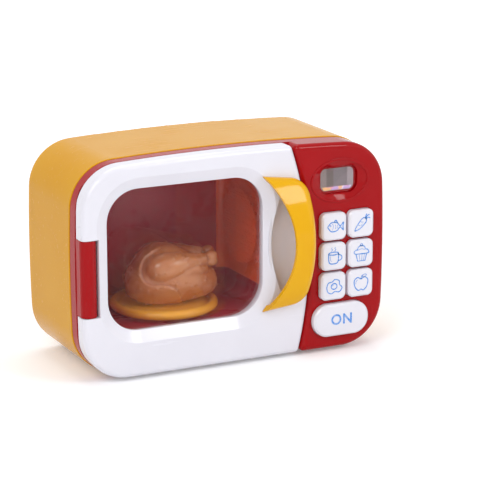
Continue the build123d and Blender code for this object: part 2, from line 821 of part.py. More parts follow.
# Turntable drive below the cavity floor: motor pinion, double idler wheel and output wheel
drive_flat = 2.4
hub_radius = 8.0
hub_lobe_radius = 2.4
hub_height = 3.6
hub_seat_z = cavity_floor_z + seat_gap
output_top_z = cavity_floor_z + hub_height
idler_hub_radius = 2.9
lightening_ring_radius = 9.6
lightening_hole_radius = 2.7
lightening_holes = 5
gear_foot_z = gearbox_top_z + seat_gap
with BuildPart() as output_gear:
    extrude(gear_face(lower_gear_z, large_teeth, large_pitch_radius), amount=gear_face_width)
    with BuildSketch(Plane.XY.offset(lower_gear_z)):
        with PolarLocations(lightening_ring_radius, lightening_holes):
            Circle(lightening_hole_radius)
    extrude(amount=gear_face_width, mode=Mode.SUBTRACT)
    with BuildSketch(Plane.XY.offset(gearbox_plate_z)):
        Circle(shaft_radius)
    extrude(amount=output_top_z - gearbox_plate_z)
    with BuildSketch(Plane.XY.offset(gear_foot_z)):
        Circle(shaft_radius + gear_module)
    extrude(amount=lower_gear_z - gear_foot_z)
    with BuildSketch(Plane.XY.offset(cavity_floor_z)):
        with Locations((0, drive_flat + shaft_radius), (0, -drive_flat - shaft_radius)):
            Rectangle(2 * shaft_radius, 2 * shaft_radius)
    extrude(amount=output_top_z - cavity_floor_z, mode=Mode.SUBTRACT)
output_part = Pos(table_x, table_y, 0) * output_gear.part
finish_piece("output_gear", output_part)

# The idler and the pinion are turned half a small tooth, so that every pair is in mesh
with BuildPart() as idler_gear:
    extrude(gear_face(upper_gear_z, large_teeth, large_pitch_radius), amount=gear_face_width)
    extrude(gear_face(lower_gear_z, small_teeth, small_pitch_radius), amount=gear_face_width)
    with BuildSketch(Plane.XY.offset(gear_foot_z)):
        Circle(idler_hub_radius)
    extrude(amount=upper_gear_z + gear_face_width - gear_foot_z)
    with BuildSketch(Plane.XY.offset(upper_gear_z)):
        with PolarLocations(lightening_ring_radius, lightening_holes):
            Circle(lightening_hole_radius)
    extrude(amount=gear_face_width, mode=Mode.SUBTRACT)
    with BuildSketch(Plane.XY.offset(gearbox_plate_z)):
        Circle(idler_pin_radius + running_gap)
    extrude(amount=upper_gear_z, mode=Mode.SUBTRACT)
idler_part = Pos(idler_x, table_y, 0) * Rot(0, 0, half_small_tooth) * idler_gear.part
finish_piece("idler_gear", idler_part)

with BuildPart() as idler_pin:
    with BuildSketch(Plane.XY.offset(gearbox_plate_z)):
        with Locations((idler_x, table_y)):
            Circle(idler_pin_radius)
    extrude(amount=liner_under_z - seat_gap - gearbox_plate_z)
finish_piece("idler_pin", idler_pin.part)

# Motor: a flat can with its front boss; the brass pinion sits on its shaft
motor_flat = 7.6
motor_head_room = 2.6
motor_base_z = inner_base_z + seat_gap
motor_top_z = upper_gear_z - motor_head_room
motor_boss_radius = 3.0
motor_boss_height = 1.2
motor_shaft_radius = 1.0
motor_bearing_depth = 6.0
with BuildPart() as gear_motor:
    with BuildSketch(Plane.XY.offset(motor_base_z)):
        Circle(motor_radius)
        Rectangle(2 * motor_radius, 2 * motor_flat, mode=Mode.INTERSECT)
    extrude(amount=motor_top_z - motor_base_z)
    with BuildSketch(Plane.XY.offset(motor_top_z)):
        Circle(motor_boss_radius)
    extrude(amount=motor_boss_height)
    with BuildSketch(Plane.XY.offset(motor_top_z - motor_bearing_depth)):
        Circle(motor_shaft_radius + running_gap)
    extrude(amount=motor_bearing_depth + motor_boss_height, mode=Mode.SUBTRACT)
motor_part = Pos(motor_x, table_y, 0) * gear_motor.part
finish_piece("gear_motor", motor_part)

with BuildPart() as motor_shaft:
    with BuildSketch(Plane.XY.offset(motor_top_z - motor_bearing_depth)):
        with Locations((motor_x, table_y)):
            Circle(motor_shaft_radius)
    extrude(amount=upper_gear_z + gear_face_width - motor_top_z + motor_bearing_depth)
finish_piece("motor_shaft", motor_shaft.part)

with BuildPart() as motor_pinion:
    extrude(gear_face(upper_gear_z, small_teeth, small_pitch_radius), amount=gear_face_width)
    with BuildSketch(Plane.XY.offset(upper_gear_z)):
        Circle(motor_shaft_radius + fixed_gap)
    extrude(amount=gear_face_width, mode=Mode.SUBTRACT)
pinion_part = Pos(motor_x, table_y, 0) * Rot(0, 0, half_small_tooth) * motor_pinion.part
finish_piece("motor_pinion", pinion_part)

# Gearbox plate: carries the shaft's foot, the idler pin and the motor, under the liner's posts
with BuildPart() as gearbox_plate:
    with BuildSketch(Plane.XY.offset(gearbox_plate_z)):
        with Locations((gearbox_middle_x, table_y)):
            RectangleRounded(gearbox_width, gearbox_height, gearbox_post_inset)
    extrude(amount=gearbox_plate_thickness)
    extrude(
        gearbox_post_face(gearbox_plate_z - overrun, gearbox_pilot_radius + seat_gap),
        amount=gearbox_plate_thickness + 2 * overrun,
        mode=Mode.SUBTRACT,
    )
    with BuildSketch(Plane.XY.offset(gearbox_plate_z - overrun)):
        with Locations((table_x, table_y)):
            Circle(shaft_radius + running_gap)
        with Locations((idler_x, table_y)):
            Circle(idler_pin_radius + fixed_gap)
        with Locations((motor_x, table_y)):
            Circle(motor_radius + fixed_gap)
    extrude(amount=gearbox_plate_thickness + 2 * overrun, mode=Mode.SUBTRACT)
finish_piece("gearbox_plate", gearbox_plate.part)

gearbox_screw_head = 2.3
gearbox_screw_head_height = 1.6
with BuildPart() as gearbox_screws:
    extrude(
        gearbox_post_face(gearbox_plate_z - gearbox_screw_head_height, gearbox_screw_head),
        amount=gearbox_screw_head_height,
    )
    extrude(
        gearbox_post_face(gearbox_plate_z, gearbox_pilot_radius - fixed_gap),
        amount=gearbox_plate_thickness + gearbox_screw_bite,
    )
finish_piece("gearbox_screws", gearbox_screws.part)

# Drive hub on the flatted shaft end, with three lobes that turn the plate
with BuildPart() as drive_hub:
    with BuildSketch(Plane.XY.offset(hub_seat_z)):
        with Locations((table_x, table_y)):
            Circle(hub_radius - hub_lobe_radius)
            with PolarLocations(hub_radius - hub_lobe_radius, 3):
                Circle(hub_lobe_radius)
    extrude(amount=hub_height - seat_gap)
    with BuildSketch(Plane.XY.offset(cavity_floor_z)):
        with Locations((table_x, table_y)):
            Circle(shaft_radius + fixed_gap)
            Rectangle(2 * shaft_radius + 2 * overrun, 2 * (drive_flat + fixed_gap), mode=Mode.INTERSECT)
    extrude(amount=hub_height + overrun, mode=Mode.SUBTRACT)
finish_piece("drive_hub", drive_hub.part)

# Turntable plate: dished floor, thick rolled rim, three-lobed socket under the middle
plate_rise = 6.1
plate_floor_z = cavity_floor_z + plate_rise
plate_floor = 2.0
plate_rim_radius = 3.6
plate_clearance = 1.0
socket_wall = 2.0
hub_top_z = hub_seat_z + hub_height - seat_gap
socket_low_z = cavity_floor_z + plate_clearance
with BuildPart() as turntable_plate:
    with BuildSketch(Plane.XZ):
        with Locations((plate_radius - plate_rim_radius, plate_floor_z)):
            Circle(plate_rim_radius)
        with Locations(((plate_radius - plate_rim_radius) / 2, plate_floor_z - plate_floor / 2)):
            Rectangle(plate_radius - plate_rim_radius, plate_floor)
        with Locations(((hub_radius + socket_wall) / 2, (socket_low_z + plate_floor_z) / 2)):
            Rectangle(hub_radius + socket_wall, plate_floor_z - socket_low_z)
    revolve(axis=Axis.Z)
    with BuildSketch(Plane.XY.offset(socket_low_z - overrun)):
        Circle(hub_radius - hub_lobe_radius + seat_gap)
        with PolarLocations(hub_radius - hub_lobe_radius, 3):
            Circle(hub_lobe_radius + seat_gap)
    extrude(amount=hub_top_z + seat_gap - socket_low_z + overrun, mode=Mode.SUBTRACT)
plate_part = Pos(table_x, table_y, 0) * turntable_plate.part
finish_piece("turntable_plate", plate_part)

# Roast chicken: ruled body through oval sections, two drumsticks with knobs, two folded wings
chicken_turn = -16.0
chicken_seat_z = plate_floor_z
chicken_front_gap = 10.5
chicken_tail_gap = 0.5
chicken_height = 48.0
chicken_breadth = 50.0
chicken_back = plate_radius - chicken_front_gap
chicken_length = 2 * plate_radius - chicken_front_gap - chicken_tail_gap
body_station_shares = (0.0, 0.05, 0.16, 0.30, 0.42, 0.60, 0.77, 0.90, 0.97, 1.0)
body_breadth_shares = (0.14, 0.52, 0.86, 1.0, 1.0, 0.96, 0.80, 0.56, 0.34, 0.10)
body_height_shares = (0.14, 0.44, 0.86, 0.98, 1.02, 0.98, 0.82, 0.60, 0.38, 0.12)
body_lift_shares = (0.37, 0.36, 0.43, 0.48, 0.49, 0.46, 0.41, 0.36, 0.37, 0.39)
drumstick_short = 15.0
drumstick_end_gap = 1.0
drumstick_radius = 12.0
drumstick_spread = 16.0
drumstick_z = 26.0
drumstick_toe_in = 10.0
drumstick_rise = 8.0
drumstick_length = chicken_length - drumstick_short
drumstick_start = plate_radius - drumstick_end_gap - drumstick_length
drumstick_station_shares = (0.0, 0.06, 0.20, 0.40, 0.62, 0.78, 0.84, 0.92, 1.0)
drumstick_radius_shares = (0.40, 0.75, 1.0, 0.93, 0.62, 0.38, 0.48, 0.54, 0.24)
wing_short = 29.0
wing_set_back = 1.5
wing_height = 24.0
wing_breadth = 12.0
wing_spread = 18.0
wing_z = 9.0
wing_length = chicken_length - wing_short
wing_start = wing_set_back - chicken_back
wing_station_shares = (0.0, 0.2, 0.75, 0.93, 1.0)
wing_height_shares = (0.5, 0.95, 1.0, 0.7, 0.3)
chicken_origin = (table_x, table_y, chicken_seat_z)
chicken_plane = Plane(origin=chicken_origin, z_dir=(0, 0, 1)).rotated((0, 0, chicken_turn))


def chicken_section(along, height, across=0.0):
    """Plane square to the chicken's length at a place of its own frame."""
    place = chicken_plane.from_local_coords(Vector(along, across, height))
    return Plane(origin=place, x_dir=chicken_plane.y_dir, z_dir=chicken_plane.x_dir)


with BuildPart() as roast_chicken:
    for station, breadth, height, lift in zip(
        body_station_shares, body_breadth_shares, body_height_shares, body_lift_shares
    ):
        with BuildSketch(chicken_section(station * chicken_length - chicken_back, lift * chicken_height)):
            Ellipse(breadth * chicken_breadth / 2, height * chicken_height / 2)
    loft(ruled=True)
    for side in (-1, 1):
        for station, radius in zip(drumstick_station_shares, drumstick_radius_shares):
            along = drumstick_start + station * drumstick_length
            across = side * (drumstick_spread - station * drumstick_toe_in)
            with BuildSketch(chicken_section(along, drumstick_z + station * drumstick_rise, across)):
                Circle(radius * drumstick_radius)
        loft(ruled=True)
    for side in (-1, 1):
        for station, height in zip(wing_station_shares, wing_height_shares):
            along = wing_start + station * wing_length
            with BuildSketch(chicken_section(along, wing_z, side * wing_spread)):
                Ellipse(wing_breadth / 2, height * wing_height / 2)
        loft(ruled=True)
    with BuildSketch(Plane.XY.offset(chicken_seat_z - chicken_height)):
        with Locations((table_x, table_y)):
            Circle(chicken_length)
    extrude(amount=chicken_height, mode=Mode.SUBTRACT)
finish_piece("roast_chicken", roast_chicken.part)

# Door frame: the white moulding with its hollow back, window surround, hinge lugs and scoop
door_inset = 0.8
door_round = 4.0
door_seat_y = land_y - seat_gap
door_skin_back_y = face_y + door_wall
window_rim_width = 12.0
rim_back_y = face_y + window_rim_depth
scoop_left_room = 33.0
scoop_right_room = 4.5
scoop_drop = 0.75
scoop_end_room = 2.75
scoop_left_x = divider_middle_x - scoop_left_room
scoop_right_x = divider_middle_x - scoop_right_room
scoop_middle_z = handle_middle_z - scoop_drop
scoop_half_height = handle_length / 2 - scoop_end_room
scoop_depth = 6.0
scoop_radius = 26.0
scoop_wall = 2.4
lug_proud = 0.2
lug_radius = barrel_radius + lug_proud
handle_pilot_radius = 1.1


def crescent_face(y, left_bow_x, right_bow_x, tip_x, low_z, high_z):
    """A crescent seen from the front: two arcs that share their upper and lower tips."""
    middle = (low_z + high_z) / 2
    with BuildSketch(front_plane(y)) as face:
        with BuildLine():
            outer = ThreePointArc((tip_x, low_z), (right_bow_x, middle), (tip_x, high_z))
            ThreePointArc(outer @ 1, (left_bow_x, middle), (tip_x, low_z))
        make_face()
    return face.sketch


scoop_low_z = scoop_middle_z - scoop_half_height
scoop_high_z = scoop_middle_z + scoop_half_height
scoop_tip_x = (scoop_left_x + scoop_right_x) / 2
scoop_back_y = face_y + scoop_depth + scoop_wall
with BuildPart() as finger_scoop:
    scoop_y = face_y + scoop_depth
    extrude(
        crescent_face(scoop_y, scoop_left_x, scoop_right_x, scoop_tip_x, scoop_low_z, scoop_high_z),
        amount=scoop_depth + overrun,
    )
    with BuildSketch(Plane.XY.offset(scoop_low_z)):
        with Locations((scoop_tip_x, face_y + scoop_depth - scoop_radius)):
            Circle(scoop_radius)
    extrude(amount=2 * scoop_half_height, mode=Mode.INTERSECT)

with BuildPart() as door_frame:
    extrude(divided_face(door_seat_y, door_inset, -1, moving_gap), amount=door_seat_y - face_y)
    front_edges = door_frame.faces().sort_by(Axis.Y)[0].edges()
    fillet(front_edges, radius=door_round)
    extrude(
        divided_face(door_seat_y, door_inset + door_wall, -1, moving_gap + door_wall),
        amount=door_seat_y - door_skin_back_y,
        mode=Mode.SUBTRACT,
    )
    # Thick surround of the window, with its sloping front and its opening
    extrude(window_face(rim_back_y, window_rim_width), amount=rim_back_y - face_y - door_wall / 2)
    with BuildSketch(front_plane(face_y)):
        add(window_face(face_y, window_bevel))
    with BuildSketch(front_plane(face_y + window_bevel_depth)):
        add(window_face(face_y + window_bevel_depth, 0))
    loft(mode=Mode.SUBTRACT)
    extrude(window_face(rim_back_y + overrun, 0), amount=window_rim_depth + overrun, mode=Mode.SUBTRACT)
    # Backing of the finger scoop behind the handle, then the scoop itself
    extrude(
        crescent_face(
            scoop_back_y,
            scoop_left_x - scoop_wall,
            scoop_right_x,
            scoop_tip_x,
            scoop_low_z - scoop_wall,
            scoop_high_z + scoop_wall,
        ),
        amount=scoop_back_y - face_y - door_wall / 2,
    )
    add(finger_scoop.part, mode=Mode.SUBTRACT)
    with BuildSketch(front_plane(door_skin_back_y + overrun)):
        with Locations(handle_screw_places):
            Circle(handle_pilot_radius + seat_gap)
    extrude(amount=door_wall + 2 * overrun, mode=Mode.SUBTRACT)
    # Walls round the hinge notch, and the two lugs above and below it
    with BuildSketch(front_plane(door_seat_y)):
        add(divided_face(door_seat_y, door_inset, -1, moving_gap))
        with Locations((notch_right_x + door_wall, notch_middle_z)):
            Rectangle(
                half_width,
                notch_height + 2 * door_wall,
                align=(Align.MAX, Align.CENTER),
                mode=Mode.INTERSECT,
            )
    extrude(amount=door_seat_y - door_skin_back_y)
    with BuildSketch(Plane.XY.offset(notch_low_z - lug_height)):
        with Locations((hinge_x, hinge_y)):
            Circle(lug_radius)
    extrude(amount=notch_height + 2 * lug_height)
    with BuildSketch(front_plane(door_seat_y + overrun)):
        with Locations((notch_right_x, notch_middle_z)):
            Rectangle(half_width, notch_height, align=(Align.MAX, Align.CENTER))
    extrude(amount=door_depth + 2 * overrun, mode=Mode.SUBTRACT)
    with BuildSketch(Plane.XY.offset(notch_low_z - lug_height - overrun)):
        with Locations((hinge_x, hinge_y)):
            Circle(pin_radius + running_gap)
    extrude(amount=notch_height + 2 * lug_height + 2 * overrun, mode=Mode.SUBTRACT)
    # Round the rear left edge about the hinge, so that it clears the landing as it turns
    with BuildSketch(Plane.XY.offset(base_z)):
        with Locations((hinge_x, hinge_y)):
            Rectangle(2 * hinge_sweep, 2 * hinge_sweep, align=(Align.MAX, Align.MIN))
            Circle(hinge_sweep, mode=Mode.SUBTRACT)
    extrude(amount=body_height, mode=Mode.SUBTRACT)
finish_piece("door_frame", door_frame.part)

# Window pane: a clear rounded sheet behind the surround
pane_margin = 3.0
pane_back_y = rim_back_y + pane_thickness
with BuildPart() as door_window:
    extrude(window_face(pane_back_y, pane_margin), amount=pane_thickness)
finish_piece("door_window", door_window.part)

# Inner door panel: closes the back, presses the pane home and carries the catch tab
inner_panel_thickness = 2.4
inner_panel_back_y = door_seat_y
inner_panel_front_y = inner_panel_back_y - inner_panel_thickness
inner_ring_wall = 3.0
inner_window_margin = 2.0
inner_panel_gap = 0.1
catch_tab_length = 9.0
catch_tab_thickness = 1.8
catch_tab_width = 9.0
catch_bead = 0.7
inner_panel_inset = door_inset + door_wall + inner_panel_gap
inner_panel_shift = moving_gap + door_wall + inner_panel_gap
with BuildPart() as door_inner_panel:
    extrude(
        divided_face(inner_panel_back_y, inner_panel_inset, -1, inner_panel_shift),
        amount=inner_panel_thickness,
    )
    extrude(
        window_face(inner_panel_front_y + overrun, inner_window_margin + inner_ring_wall),
        amount=inner_panel_front_y + overrun - pane_back_y,
    )
    extrude(
        window_face(inner_panel_back_y + overrun, inner_window_margin),
        amount=inner_panel_back_y + 2 * overrun - pane_back_y,
        mode=Mode.SUBTRACT,
    )
    with BuildSketch(front_plane(inner_panel_back_y + overrun)):
        with Locations((notch_right_x + door_wall + inner_panel_gap, notch_middle_z)):
            Rectangle(
                half_width,
                notch_height + 2 * lug_height + 2 * seat_gap,
                align=(Align.MAX, Align.CENTER),
            )
    extrude(amount=inner_panel_thickness + 2 * overrun, mode=Mode.SUBTRACT)
    with BuildSketch(Plane.XY.offset(catch_z - catch_tab_width / 2)):
        with BuildLine():
            tab_left = catch_x - catch_tab_thickness / 2
            tab_right = catch_x + catch_tab_thickness / 2
            tab_end = inner_panel_back_y + catch_tab_length
            Polyline(
                (tab_left, inner_panel_back_y - overrun),
                (tab_right, inner_panel_back_y - overrun),
                (tab_right, tab_end),
                (tab_left, tab_end),
                (tab_left - catch_bead, tab_end - 2 * catch_bead),
                (tab_left, tab_end - 4 * catch_bead),
                close=True,
            )
        make_face()
    extrude(amount=catch_tab_width)
    with BuildSketch(Plane.XY.offset(base_z)):
        with Locations((hinge_x, hinge_y)):
            Rectangle(2 * hinge_sweep, 2 * hinge_sweep, align=(Align.MAX, Align.MIN))
            Circle(hinge_sweep, mode=Mode.SUBTRACT)
    extrude(amount=body_height, mode=Mode.SUBTRACT)
finish_piece("door_inner_panel", door_inner_panel.part)

# Catch clip: a folded steel leaf behind the landing that grips the door's tab
clip_thickness = 0.5
clip_gap = 0.4
clip_depth = 10.0
clip_height = 9.6
clip_foot = 5.0
with BuildPart() as catch_clip:
    with BuildSketch(Plane.XY.offset(catch_z - clip_height / 2)):
        with BuildLine():
            clip_left = catch_x - catch_slot_width / 2 - clip_gap
            clip_right = catch_x + catch_slot_width / 2 + clip_gap
            Polyline(
                (clip_left - clip_foot, land_back_y),
                (clip_left, land_back_y),
                (clip_left, land_back_y + clip_depth - clip_thickness),
                (clip_right, land_back_y + clip_depth - clip_thickness),
                (clip_right, land_back_y + clip_thickness),
                (clip_right + clip_thickness, land_back_y + clip_thickness),
                (clip_right + clip_thickness, land_back_y + clip_depth),
                (clip_left - clip_thickness, land_back_y + clip_depth),
                (clip_left - clip_thickness, land_back_y + clip_thickness),
                (clip_left - clip_foot, land_back_y + clip_thickness),
                close=True,
            )
        make_face()
    extrude(amount=clip_height)
finish_piece("catch_clip", catch_clip.part)

# Door handle: a thin crescent cup, open towards the window, that arches forward
handle_wall = 2.6
handle_shoulder = 4.5
handle_tip_reach = 4.0
handle_corner = 15.0
handle_crown_round = 7.0
handle_post_radius = 2.9
handle_screw_bite = 5.0
handle_front_y = face_y - handle_reach


def handle_block(inset, opening):
    """Solid crescent under the arch; a positive opening moves its inner edge past the window side."""
    low_z = handle_low_z + inset
    high_z = handle_high_z - inset
    tip_x = handle_tip_x - opening
    arch_y = handle_front_y + inset
    end_y = face_y - handle_tip_reach + inset
    with BuildPart() as block:
        with BuildSketch(front_plane(face_y + opening)):
            with BuildLine():
                side_low = (handle_side_x - inset, low_z + handle_shoulder)
                side_high = (handle_side_x - inset, high_z - handle_shoulder)
                Line((tip_x, low_z), side_low)
                ThreePointArc(side_low, (handle_bow_x - inset, handle_middle_z), side_high)
                Line(side_high, (tip_x, high_z))
                ThreePointArc((tip_x, high_z), (handle_inner_x - opening, handle_middle_z), (tip_x, low_z))
            make_face()
        extrude(amount=opening + handle_reach + overrun)
        side_edges = block.edges().filter_by(Axis.Y).sort_by(Axis.X)[-2:]
        fillet(side_edges, radius=handle_corner - inset)
        with BuildSketch(Plane.YZ.offset(tip_x - overrun)):
            with BuildLine():
                arch = ThreePointArc((end_y, low_z), (arch_y, handle_middle_z), (end_y, high_z))
                Polyline(
                    arch @ 1,
                    (end_y, high_z + handle_reach),
                    (face_y + opening + overrun, high_z + handle_reach),
                    (face_y + opening + overrun, low_z - handle_reach),
                    (end_y, low_z - handle_reach),
                    arch @ 0,
                )
            make_face()
        extrude(amount=handle_bow_x - tip_x + 2 * overrun, mode=Mode.INTERSECT)
        arch_face = block.faces().sort_by_distance((handle_bow_x - handle_corner, arch_y, handle_middle_z))[0]
        inner_point = (handle_inner_x - opening, arch_y, handle_middle_z)
        crown_edges = arch_face.edges().sort_by_distance(inner_point)[1:]
        fillet(crown_edges, radius=handle_crown_round - inset)
    return block.part


handle_shape = handle_block(0, 0)
handle_hollow = handle_block(handle_wall, handle_reach)
with BuildPart() as handle_posts:
    with BuildSketch(front_plane(face_y)):
        with Locations(handle_screw_places):
            Circle(handle_post_radius)
    extrude(amount=handle_reach)
    add(handle_shape, mode=Mode.INTERSECT)
with BuildPart() as door_handle:
    add(handle_shape)
    add(handle_hollow, mode=Mode.SUBTRACT)
    add(handle_posts.part)
    with BuildSketch(front_plane(face_y)):
        with Locations(handle_screw_places):
            Circle(handle_pilot_radius)
    extrude(amount=handle_screw_bite + hole_spare, mode=Mode.SUBTRACT)
finish_piece("door_handle", door_handle.part)

# Handle screws: two, driven from inside the door through its skin into the handle's posts
handle_screw_head = 2.3
handle_screw_head_height = 1.6
with BuildPart() as handle_screws:
    with BuildSketch(front_plane(door_skin_back_y + handle_screw_head_height)):
        with Locations(handle_screw_places):
            Circle(handle_screw_head)
    extrude(amount=handle_screw_head_height)
    with BuildSketch(front_plane(door_skin_back_y)):
        with Locations(handle_screw_places):
            Circle(handle_pilot_radius - fixed_gap)
    extrude(amount=door_wall + handle_screw_bite)
finish_piece("handle_screws", handle_screws.part)

# Keys: six rounded caps and the wide start button, hollow behind, each with a flange and a plunger
cap_wall = 1.8
cap_chamfer = 1.4
flange_thickness = 1.2
flange_front_y = face_back_y
plunger_radius = 2.6
membrane_thickness = 1.0
membrane_y = board_y - seat_gap
plunger_end_y = membrane_y - membrane_thickness - key_travel - seat_gap


def make_cap(name, x, z, width, height, corner):
    """One push cap with its retaining flange, hollow back and plunger."""
    flange_y = flange_front_y + flange_thickness
    flange_width = width + 2 * key_flange
    flange_height = height + 2 * key_flange
    with BuildPart() as cap:
        extrude(
            rounded_face(front_plane(flange_y), x, z, flange_width, flange_height, corner),
            amount=flange_thickness,
        )
        extrude(
            rounded_face(front_plane(flange_front_y), x, z, width, height, corner),
            amount=flange_front_y - face_y + key_proud,
        )
        rim_edges = cap.faces().sort_by(Axis.Y)[0].edges()
        chamfer(rim_edges, length=cap_chamfer)
        extrude(
            rounded_face(
                front_plane(flange_y),
                x,
                z,
                width - 2 * cap_wall,
                height - 2 * cap_wall,
                corner - cap_wall,
            ),
            amount=flange_y - face_y + key_proud - cap_wall,
            mode=Mode.SUBTRACT,
        )
        with BuildSketch(front_plane(plunger_end_y)):
            with Locations((x, z)):
                Circle(plunger_radius)
        extrude(amount=plunger_end_y - face_y + key_proud - cap_wall / 2)
    finish_piece(name, cap.part)


for number, (x, z) in enumerate(key_places, start=1):
    make_cap(f"key_{number}", x, z, key_width, key_height, key_corner)
make_cap("start_button", start_x, start_z, start_width, start_height, start_corner)

# Keypad membrane: one rubber sheet on the board, with a raised pad under each plunger
membrane_corner = 2.0
membrane_left_reach = 2.7
membrane_rise = 12.5
membrane_over_keys = 1.7
membrane_left_x = keys_left_x - membrane_left_reach
membrane_right_x = keys_right_x
membrane_low_z = base_z + membrane_rise
membrane_high_z = keys_high_z + membrane_over_keys
pad_radius = 4.0
pad_height = 0.2
membrane_x = (membrane_left_x + membrane_right_x) / 2
membrane_z = (membrane_low_z + membrane_high_z) / 2
membrane_width = membrane_right_x - membrane_left_x
membrane_height = membrane_high_z - membrane_low_z
membrane_plane = front_plane(board_y)
with BuildPart() as keypad_membrane:
    extrude(
        rounded_face(
            membrane_plane, membrane_x, membrane_z, membrane_width, membrane_height, membrane_corner
        ),
        amount=membrane_thickness,
    )
    with BuildSketch(front_plane(board_y)):
        with Locations(key_places + [(start_x, start_z)]):
            Circle(pad_radius)
    extrude(amount=membrane_thickness + pad_height)
    with BuildSketch(front_plane(board_y + overrun)):
        with Locations(board_post_places):
            Circle(board_post_radius + seat_gap)
    extrude(amount=membrane_thickness + 2 * overrun, mode=Mode.SUBTRACT)
finish_piece("keypad_membrane", keypad_membrane.part)

# Circuit board on its four posts, cut to the panel's outline, and the screws that hold it
board_rise = 5.0
board_drop = 16.5
board_low_z = base_z + board_rise
board_high_z = top_z - board_drop
board_corner = 3.0
board_edge_gap = 1.0
board_screw_head = 2.4
board_screw_head_height = 1.4
board_back_y = board_y + board_thickness
with BuildPart() as circuit_board:
    with BuildSketch(front_plane(board_back_y)):
        with Locations(((board_left_x + board_right_x) / 2, (board_low_z + board_high_z) / 2)):
            RectangleRounded(board_right_x - board_left_x, board_high_z - board_low_z, board_corner)
        board_inset = panel_edge_inset + bezel_wall + board_edge_gap
        add(divided_face(board_back_y, board_inset, 1, bezel_wall + board_edge_gap), mode=Mode.INTERSECT)
        with Locations((side_post_x, side_post_z)):
            Circle(post_radius + moving_gap, mode=Mode.SUBTRACT)
        with Locations(board_post_places):
            Circle(board_screw_radius + seat_gap, mode=Mode.SUBTRACT)
    extrude(amount=board_thickness)
finish_piece("circuit_board", circuit_board.part)

with BuildPart() as board_screws:
    with BuildSketch(front_plane(board_back_y + board_screw_head_height)):
        with Locations(board_post_places):
            Circle(board_screw_head)
    extrude(amount=board_screw_head_height)
    with BuildSketch(front_plane(board_back_y)):
        with Locations(board_post_places):
            Circle(board_screw_radius - fixed_gap)
    extrude(amount=board_thickness + board_screw_length - hole_spare)
finish_piece("board_screws", board_screws.part)

# Display: clear lens behind the panel's pad, and the grey display module between lens and board
lens_thickness = 1.0
lens_margin = 1.6
module_margin = 1.0
module_width = display_width + 2 * module_margin
module_height = display_height + 2 * module_margin
lens_back_y = face_back_y + display_pad_depth - bezel_wall + lens_thickness
with BuildPart() as display_lens:
    with BuildSketch(front_plane(lens_back_y)):
        with Locations((display_x, display_z)):
            RectangleRounded(
                display_width + 2 * lens_margin,
                display_height + 2 * lens_margin,
                display_corner + lens_margin,
            )
    extrude(amount=lens_thickness)
finish_piece("display_lens", display_lens.part)

with BuildPart() as display_module:
    with BuildSketch(front_plane(board_y)):
        with Locations((display_x, display_z)):
            RectangleRounded(module_width, module_height, module_margin)
    extrude(amount=board_y - lens_back_y)
finish_piece("display_module", display_module.part)

# Battery bay: a tray behind the opening in the back, three cells, their springs and the cover
tray_mouth_y = inner_back_y
tray_floor_y = tray_mouth_y - tray_depth
tray_outer_width = tray_width + 2 * tray_wall
tray_outer_height = tray_height + 2 * tray_wall
tray_corner = 2.0
tray_inner_corner = 1.2
cover_boss_radius = 3.2
cover_screw_radius = 1.2
cover_screw_bite = 7.0
with BuildPart() as battery_tray:
    extrude(bay_face(tray_mouth_y, tray_flange), amount=tray_wall)
    mouth_plane = front_plane(tray_mouth_y)
    extrude(
        rounded_face(mouth_plane, tray_x, tray_z, tray_outer_width, tray_outer_height, tray_corner),
        amount=tray_depth + tray_wall,
    )
    with BuildSketch(front_plane(tray_mouth_y)):
        with Locations((tray_x, cover_tab_z)):
            Circle(cover_boss_radius)
    extrude(amount=cover_screw_bite + 2 * hole_spare)
    hollow_plane = front_plane(tray_mouth_y + overrun)
    extrude(
        rounded_face(hollow_plane, tray_x, tray_z, tray_width, tray_height, tray_inner_corner),
        amount=tray_depth + overrun,
        mode=Mode.SUBTRACT,
    )
    with BuildSketch(front_plane(tray_mouth_y)):
        with Locations((tray_x, cover_tab_z)):
            Circle(cover_screw_radius + running_gap)
    extrude(amount=cover_screw_bite + hole_spare, mode=Mode.SUBTRACT)
finish_piece("battery_tray", battery_tray.part)

cell_y = tray_floor_y + cell_radius + seat_gap
cell_tip_radius = 2.6
cell_tip_length = 1.2
cell_low_z = tray_z - cell_length / 2
with BuildPart() as battery_cells:
    for index in range(cell_count):
        cell_x = tray_x + (index - (cell_count - 1) / 2) * cell_pitch
        tip_up = index % 2 == 0
        barrel_z = cell_low_z if tip_up else cell_low_z + cell_tip_length
        tip_z = cell_low_z + cell_length - cell_tip_length if tip_up else cell_low_z
        with BuildSketch(Plane.XY.offset(barrel_z)):
            with Locations((cell_x, cell_y)):
                Circle(cell_radius)
        extrude(amount=cell_length - cell_tip_length)
        with BuildSketch(Plane.XY.offset(tip_z)):
            with Locations((cell_x, cell_y)):
                Circle(cell_tip_radius)
        extrude(amount=cell_tip_length)
finish_piece("battery_cells", battery_cells.part)

contact_thickness = 0.4
contact_width = 11.0
contact_height = 9.0
contact_inner_radius = 1.6
contact_outer_radius = 4.2
contact_end_z = tray_height / 2
with BuildPart() as battery_contacts:
    for index in range(cell_count):
        cell_x = tray_x + (index - (cell_count - 1) / 2) * cell_pitch
        for end in (-1, 1):
            plate_low_z = tray_z + end * contact_end_z - (contact_thickness if end > 0 else 0)
            with BuildSketch(Plane.XY.offset(plate_low_z)):
                with Locations((cell_x, cell_y)):
                    Rectangle(contact_width, contact_height)
            extrude(amount=contact_thickness)
            spring_low_z = min(tray_z + end * (cell_length / 2 + seat_gap), tray_z + end * contact_end_z)
            is_spring = (index % 2 == 0) == (end < 0)
            spring_radius = contact_outer_radius if is_spring else contact_inner_radius
            with BuildSketch(Plane.XY.offset(spring_low_z)):
                with Locations((cell_x, cell_y)):
                    Circle(spring_radius)
            extrude(amount=contact_room - seat_gap)
finish_piece("battery_contacts", battery_contacts.part)

